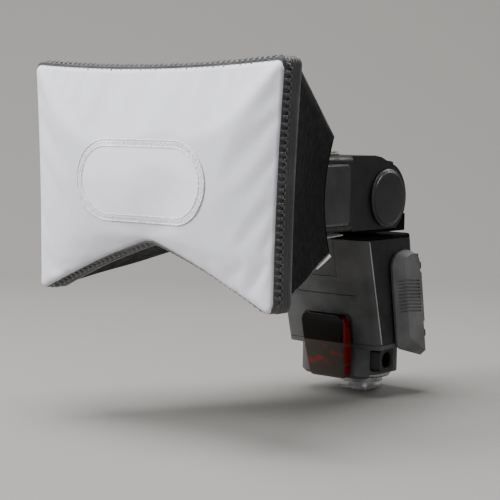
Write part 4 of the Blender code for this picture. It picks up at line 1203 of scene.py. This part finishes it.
@dataclass
class Head:
    """Flash head: housing, pivot discs, grip panels, optics and the strip of loop pile."""

    fibres: int = 1100
    stray: int = 26
    seed: int = 7

    def build(self) -> None:
        """Dress the head's nodes and add its small pieces."""
        for node, finish, bevel in (
            ("head_housing", "head", 0.7 * MM),
            ("head_rear_shell", "head", 0.6 * MM),
            ("swivel_base", "deck", 0.5 * MM),
            ("grip_panel_right", "grip", 0.3 * MM),
            ("grip_panel_left", "grip", 0.3 * MM),
            ("tilt_disc_right", "disc", 0.5 * MM),
            ("tilt_disc_left", "disc", 0.5 * MM),
            ("tilt_release_button", "key", 0.3 * MM),
            ("fresnel_window", "lens", 0.2 * MM),
            ("wide_panel", "lens", 0.1 * MM),
            ("reflector_carriage", "mirror", 0.1 * MM),
            ("flash_tube", "clear", 0.2 * MM),
            ("zoom_motor", "steel", 0.3 * MM),
            ("zoom_lead_screw", "steel", 0.1 * MM),
            ("pan_retaining_ring", "steel", 0.1 * MM),
        ):
            Maker.refine(node, finish, bevel)
        self.panel_rims()
        self.disc_faces()
        self.pile()

    def panel_rims(self) -> None:
        """Fine raised line round each grip panel, and an index line beside each disc."""
        for name, side in (("right", 1), ("left", -1)):
            low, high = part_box(f"grip_panel_{name}")
            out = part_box("head_housing")[1].x
            outline = rounded(
                low.y - 0.1 * MM, high.y + 0.1 * MM, low.z - 0.1 * MM, high.z + 0.1 * MM, 2.4 * MM
            )
            path = [Vector((side * (out + 0.05 * MM), y, z)) for y, z in outline]
            rim = Maker.piece(
                f"panel_rim_{name}", *Maker.tube(path, 0.28 * MM, 6, closed=True), "grip", 180.0
            )
            Maker.settle(rim, "head", "grip_rubber")
            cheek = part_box("head_rear_shell")
            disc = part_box(f"tilt_disc_{name}")
            level = (disc[0].z + disc[1].z) / 2
            front = cheek[0].y + 2.0 * MM
            mark = rounded(front, disc[0].y - 1.6 * MM, level - 0.25 * MM, level + 0.25 * MM, 0.2 * MM)
            edge = cheek[1].x
            span = sorted((side * (edge - 0.1 * MM), side * (edge + 0.12 * MM)))
            Maker.settle(Maker.solid(f"index_line_{name}", mark, *span, "black_and_painted_shade"), "head", "dark_plastic")

    def disc_faces(self) -> None:
        """Shallow dome on the right disc and a low raised ring on the left one."""
        for name, side in (("right", 1), ("left", -1)):
            low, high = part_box(f"tilt_disc_{name}")
            middle = (low + high) / 2
            radius = (high.z - low.z) / 2
            face = high.x if side > 0 else low.x
            inner = 0.0 if side > 0 else 6.1 * MM
            steps = 10
            loops = []
            for k in range(steps + 1):
                share = k / steps
                r = max(0.05 * MM, inner + (radius - 1.0 * MM - inner) * share)
                dome = 0.45 * MM * (1 - share**2) if side > 0 else 0.18 * MM * math.sin(math.pi * share)
                x = face + side * (dome + 0.02 * MM)
                turns = [2 * math.pi * i / 48 for i in range(48)]
                loops.append(
                    [Vector((x, middle.y + r * math.cos(t), middle.z + r * math.sin(t))) for t in turns]
                )
            verts, faces = Maker.rings(loops, caps=side > 0)
            if side < 0:
                faces = [face_[::-1] for face_ in faces]
            Maker.settle(
                Maker.piece(f"disc_face_{name}", verts, faces, "disc", 180.0), "swivel", "dark_plastic"
            )

    def pile(self) -> None:
        """Fuzzy loop pile on the head's strip, with a few stray fibres at its edge."""
        low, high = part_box("loop_strip")
        draw = random.Random(self.seed)
        base = rounded(low.x, high.x, low.y, high.y, 1.5 * MM)
        pad = Maker.soften(
            Maker.solid("loop_base", base, low.z - 0.25 * MM, low.z + 0.9 * MM, "pile", Axis.UP),
            0.3 * MM,
        )
        Maker.settle(pad, "head", "loop_pile", "loop_strip")
        parts = []
        for _ in range(self.fibres):
            x = draw.uniform(low.x + 0.5 * MM, high.x - 0.5 * MM)
            y = draw.uniform(low.y + 0.5 * MM, high.y - 0.5 * MM)
            turn = draw.uniform(0, 2 * math.pi)
            wide = draw.uniform(0.5, 1.0) * MM
            tall = draw.uniform(0.9, 1.6) * MM
            side = Vector((math.cos(turn), math.sin(turn), 0)) * wide
            foot = Vector((x, y, low.z + 0.8 * MM))
            top = Vector((0, 0, tall))
            shape = ((-0.6, 0.0), (-1.0, 0.7), (0.0, 1.0), (1.0, 0.7), (0.6, 0.0))
            run = [foot + side * across + top * up for across, up in shape]
            parts.append(Maker.tube(run, 0.09 * MM, 3))
        for _ in range(self.stray):
            x = high.x - draw.uniform(0.5, 9.0) * MM
            y = low.y + draw.uniform(0.0, 9.0) * MM
            lean = Vector(
                (draw.uniform(0.2, 1.0), draw.uniform(-0.6, 1.0), draw.uniform(0.15, 0.8))
            ).normalized()
            far = draw.uniform(3.0, 6.5) * MM
            foot = Vector((x, y, low.z + 1.4 * MM))
            bow = Vector((0, 0, draw.uniform(-1.2, 1.2) * MM))
            run = [foot, foot + lean * far * 0.5 + bow, foot + lean * far]
            parts.append(Maker.tube(run, 0.07 * MM, 3, taper=True))
        Maker.settle(Maker.bundle("loop_fibres", parts, "pile"), "head", "loop_pile")


@dataclass
class Body:
    """Flash body: shells, red window, battery door, socket, foot and the rear controls."""

    seam_slope: float = 0.25

    def build(self) -> None:
        """Dress the body's nodes and add its small pieces."""
        for node, finish, bevel in (
            ("front_shell", "front", 0.5 * MM),
            ("sensor_window", "window", 0.2 * MM),
            ("rear_shell", "side", 0.5 * MM),
            ("top_deck", "deck", 0.3 * MM),
            ("base_housing", "front", 0.6 * MM),
            ("af_window", "red", 0.6 * MM),
            ("af_beam_lens", "glow", 0.2 * MM),
            ("power_socket", "side", 0.5 * MM),
            ("battery_door", "door", 0.5 * MM),
            ("door_hinge_pin", "side", 0.1 * MM),
            ("foot_plate", "steel", 0.2 * MM),
            ("lock_ring", "knurl", 0.25 * MM),
            ("lock_pin", "steel", 0.2 * MM),
            ("lcd_window", "lcd", 0.2 * MM),
            ("pilot_button", "amber", 0.2 * MM),
            ("power_switch", "key", 0.2 * MM),
            ("main_board", "board", 0.0),
            ("main_capacitor", "black_and_painted_shade", 0.5 * MM),
            ("cell_contact_plate", "steel", 0.1 * MM),
        ):
            Maker.refine(node, finish, bevel)
        for i in range(1, 5):
            Maker.refine(f"button_{i}", "key", 0.3 * MM)
            Maker.refine(f"battery_cell_{i}", "sleeve", 0.3 * MM)
            Maker.refine(f"foot_screw_{i}", "steel", 0.1 * MM)
        for node in ("contact_main", "contact_1", "contact_2", "contact_3"):
            Maker.refine(node, "brass", 0.2 * MM)
        self.seams()
        self.window_painted_shade()
        self.socket_pin()
        self.display()

    def seams(self) -> None:
        """Raised bead along each side seam, coloured light grey as a painted highlight on the rounded
        edge where the front shell meets the side shell.
        """
        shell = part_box("front_shell")
        rise = shell[1].z - shell[0].z - 1.0 * MM
        for name, side in (("right", 1), ("left", -1)):
            x = side * (shell[1].x - 0.25 * MM)
            low = Vector((x, shell[1].y + 0.1 * MM, shell[0].z + 0.5 * MM))
            high = low + Vector((0.0, -self.seam_slope * rise, rise))
            path = [low.lerp(high, i / 10) for i in range(11)]
            tube = Maker.tube(path, 0.5 * MM, 8)
            bead = Maker.piece(f"seam_painted_highlight_{name}", *tube, "seam", 180.0)
            Maker.settle(bead, "body", "grey_plastic")

    def window_painted_shade(self) -> None:
        """Painted shade: a near black tube round the upper part of the red window, where shade falls in
        the front shell's recess.
        """
        low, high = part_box("af_window")
        shell = BVHTree.FromObject(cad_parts["front_shell"], bpy.context.evaluated_depsgraph_get())
        half = high.x + 0.5 * MM
        spots = [(half - 0.8 * MM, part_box("front_shell")[0].z + 0.6 * MM), (half, high.z - 3.0 * MM)]
        spots += arc(half - 2.6 * MM, high.z - 2.0 * MM, 2.6 * MM, 0, 90, 6)
        spots += [(x * half / 8.2, high.z + 0.6 * MM) for x in (5, 3, 1)]
        spots += [(-x, z) for x, z in reversed(spots)]
        path = []
        for x, z in spots:
            hit = shell.ray_cast(Vector((x, low.y - 0.1, z)), Vector((0.0, 1.0, 0.0)))[0]
            if hit is not None:
                path.append(hit)
        # painted shade: a near black tube along the recess round the red window
        shade_tube = Maker.piece("af_window_painted_shade", *Maker.tube(path, 0.55 * MM, 8), "black_and_painted_shade", 180.0)
        Maker.settle(shade_tube, "body", "dark_plastic")

    def socket_pin(self) -> None:
        """Bright contact sleeve over the socket's pin."""
        low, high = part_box("power_socket")
        y = high.y - (high.z - low.z) / 2
        z = (low.z + high.z) / 2
        floor = high.x - 7.0 * MM
        loops = []
        for x, r in (
            (floor, 1.15), (floor + 2.0 * MM, 1.15), (floor + 2.3 * MM, 0.9), (floor + 2.4 * MM, 0.3)
        ):
            turns = [2 * math.pi * i / 16 for i in range(16)]
            loops.append(
                [Vector((x, y + r * MM * math.cos(t), z + r * MM * math.sin(t))) for t in turns]
            )
        Maker.settle(Maker.piece("socket_pin", *Maker.rings(loops), "steel", 40.0), "body", "steel")

    def display(self) -> None:
        """Screen behind the display window, with plain bars on it."""
        low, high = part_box("lcd_window")
        lean = math.atan(0.17)
        up = Vector((0.0, -math.sin(lean), math.cos(lean)))
        out = Vector((0.0, math.cos(lean), math.sin(lean)))
        middle = (low + high) / 2 - out * 0.15 * MM

        def plate(name: str, x: Flat, z: Flat, lift: float, finish: str) -> None:
            """Thin plate on the display's plane."""
            loops = []
            outline = rounded(*x, *z, 0.3 * MM, 3)
            for depth in (lift - 0.12 * MM, lift):
                base = middle + out * depth
                loops.append([base + Vector((u, 0, 0)) + up * v for u, v in outline])
            Maker.settle(Maker.piece(name, *Maker.rings(loops), finish, 30.0), "body", "dark_window")

        wide, tall = 14.5 * MM, 8.5 * MM
        plate("display_screen", (-wide, wide), (-tall, tall), -1.3 * MM, "screen")
        for i in range(7):
            x = (-12.0 + 3.6 * i) * MM
            plate(
                f"display_bar_{i}",
                (x, x + 2.4 * MM),
                (-6.5 * MM, (-6.5 + 0.9 * (i + 1)) * MM),
                -1.1 * MM,
                "segment",
            )
        plate("display_line", (-12.0 * MM, 12.0 * MM), (4.2 * MM, 4.9 * MM), -1.1 * MM, "segment")


@dataclass
class Studio:
    """Pale floor and backdrop, soft lights and the camera."""

    spot: Vector = Vector((466.7, -681.0, 154.0)) * MM
    yaw: float = 39.1
    dip: float = 5.1
    roll: float = 0.9
    lens: float = 100.8

    def build(self) -> None:
        """Set up the whole studio."""
        self.floor()
        self.lights()
        self.camera()

    def floor(self) -> None:
        """Sweep of pale paper: floor, curve and wall behind."""
        profile = [(-3.2, 0.0), (0.55, 0.0)]
        profile += [(0.55 + u, 0.6 + v) for u, v in arc(0.0, 0.0, 0.6, -90, 0, 24)[1:]]
        profile += [(1.15, 2.6)]
        turn = Matrix.Rotation(math.radians(self.yaw), 3, "Z")
        ground = -0.4 * MM
        loops = []
        for x in (-2.5, 2.5):
            loops.append([turn @ Vector((x, y, z + ground)) for y, z in profile])
        verts = loops[0] + loops[1]
        count = len(profile)
        faces = [(i, i + 1, count + i + 1, count + i) for i in range(count - 1)]
        paper = Maker.piece("paper_sweep", verts, faces, "floor", 180.0)

    def lights(self) -> None:
        """Soft key from the upper left, a broad fill and a rim light, with a dim even world."""
        aim = Vector((0.0, -0.09, 0.11))
        for name, spot, size, power in (
            ("key", (-0.75, -1.3, 0.95), 0.9, 38.0),
            ("top", (-0.1, -0.35, 1.25), 0.7, 24.0),
            ("fill", (1.3, -0.7, 0.35), 0.8, 1.6),
            ("rim", (0.35, 0.9, 0.9), 0.6, 6.0),
        ):
            light = bpy.data.lights.new(name, "AREA")
            light.energy = power
            light.size = size
            lamp = bpy.data.objects.new(name, light)
            lamp.location = spot
            lamp.rotation_euler = (aim - Vector(spot)).to_track_quat("-Z", "Y").to_euler()
            bpy.context.scene.collection.objects.link(lamp)
        world = bpy.data.worlds.new("studio")
        world.use_nodes = True
        world.node_tree.nodes["Background"].inputs["Color"].default_value = (0.9, 0.93, 1.0, 1.0)
        world.node_tree.nodes["Background"].inputs["Strength"].default_value = 0.2
        bpy.context.scene.world = world

    def camera(self) -> None:
        """Camera in front and to the right, level with the head."""
        yaw, dip, roll = (math.radians(a) for a in (self.yaw, self.dip, self.roll))
        ahead = Vector((-math.sin(yaw) * math.cos(dip), math.cos(yaw) * math.cos(dip), -math.sin(dip)))
        flat_right = Vector((math.cos(yaw), math.sin(yaw), 0.0))
        flat_up = flat_right.cross(ahead)
        right = flat_right * math.cos(roll) + flat_up * math.sin(roll)
        up = flat_up * math.cos(roll) - flat_right * math.sin(roll)
        data = bpy.data.cameras.new("camera")
        data.lens = self.lens
        data.sensor_width = 36.0
        camera = bpy.data.objects.new("camera", data)
        camera.matrix_world = Matrix((right, up, -ahead)).transposed().to_4x4()
        camera.location = self.spot
        bpy.context.scene.collection.objects.link(camera)
        bpy.context.scene.camera = camera


def main() -> None:
    """Build every sub-assembly in order."""
    logging.basicConfig(level=logging.INFO, format="%(message)s")
    for part in (Studio(), Body(), Head(), Softbox()):
        LOG.info("building %s", type(part).__name__)
        part.build()


if __name__ == "__main__":
    main()
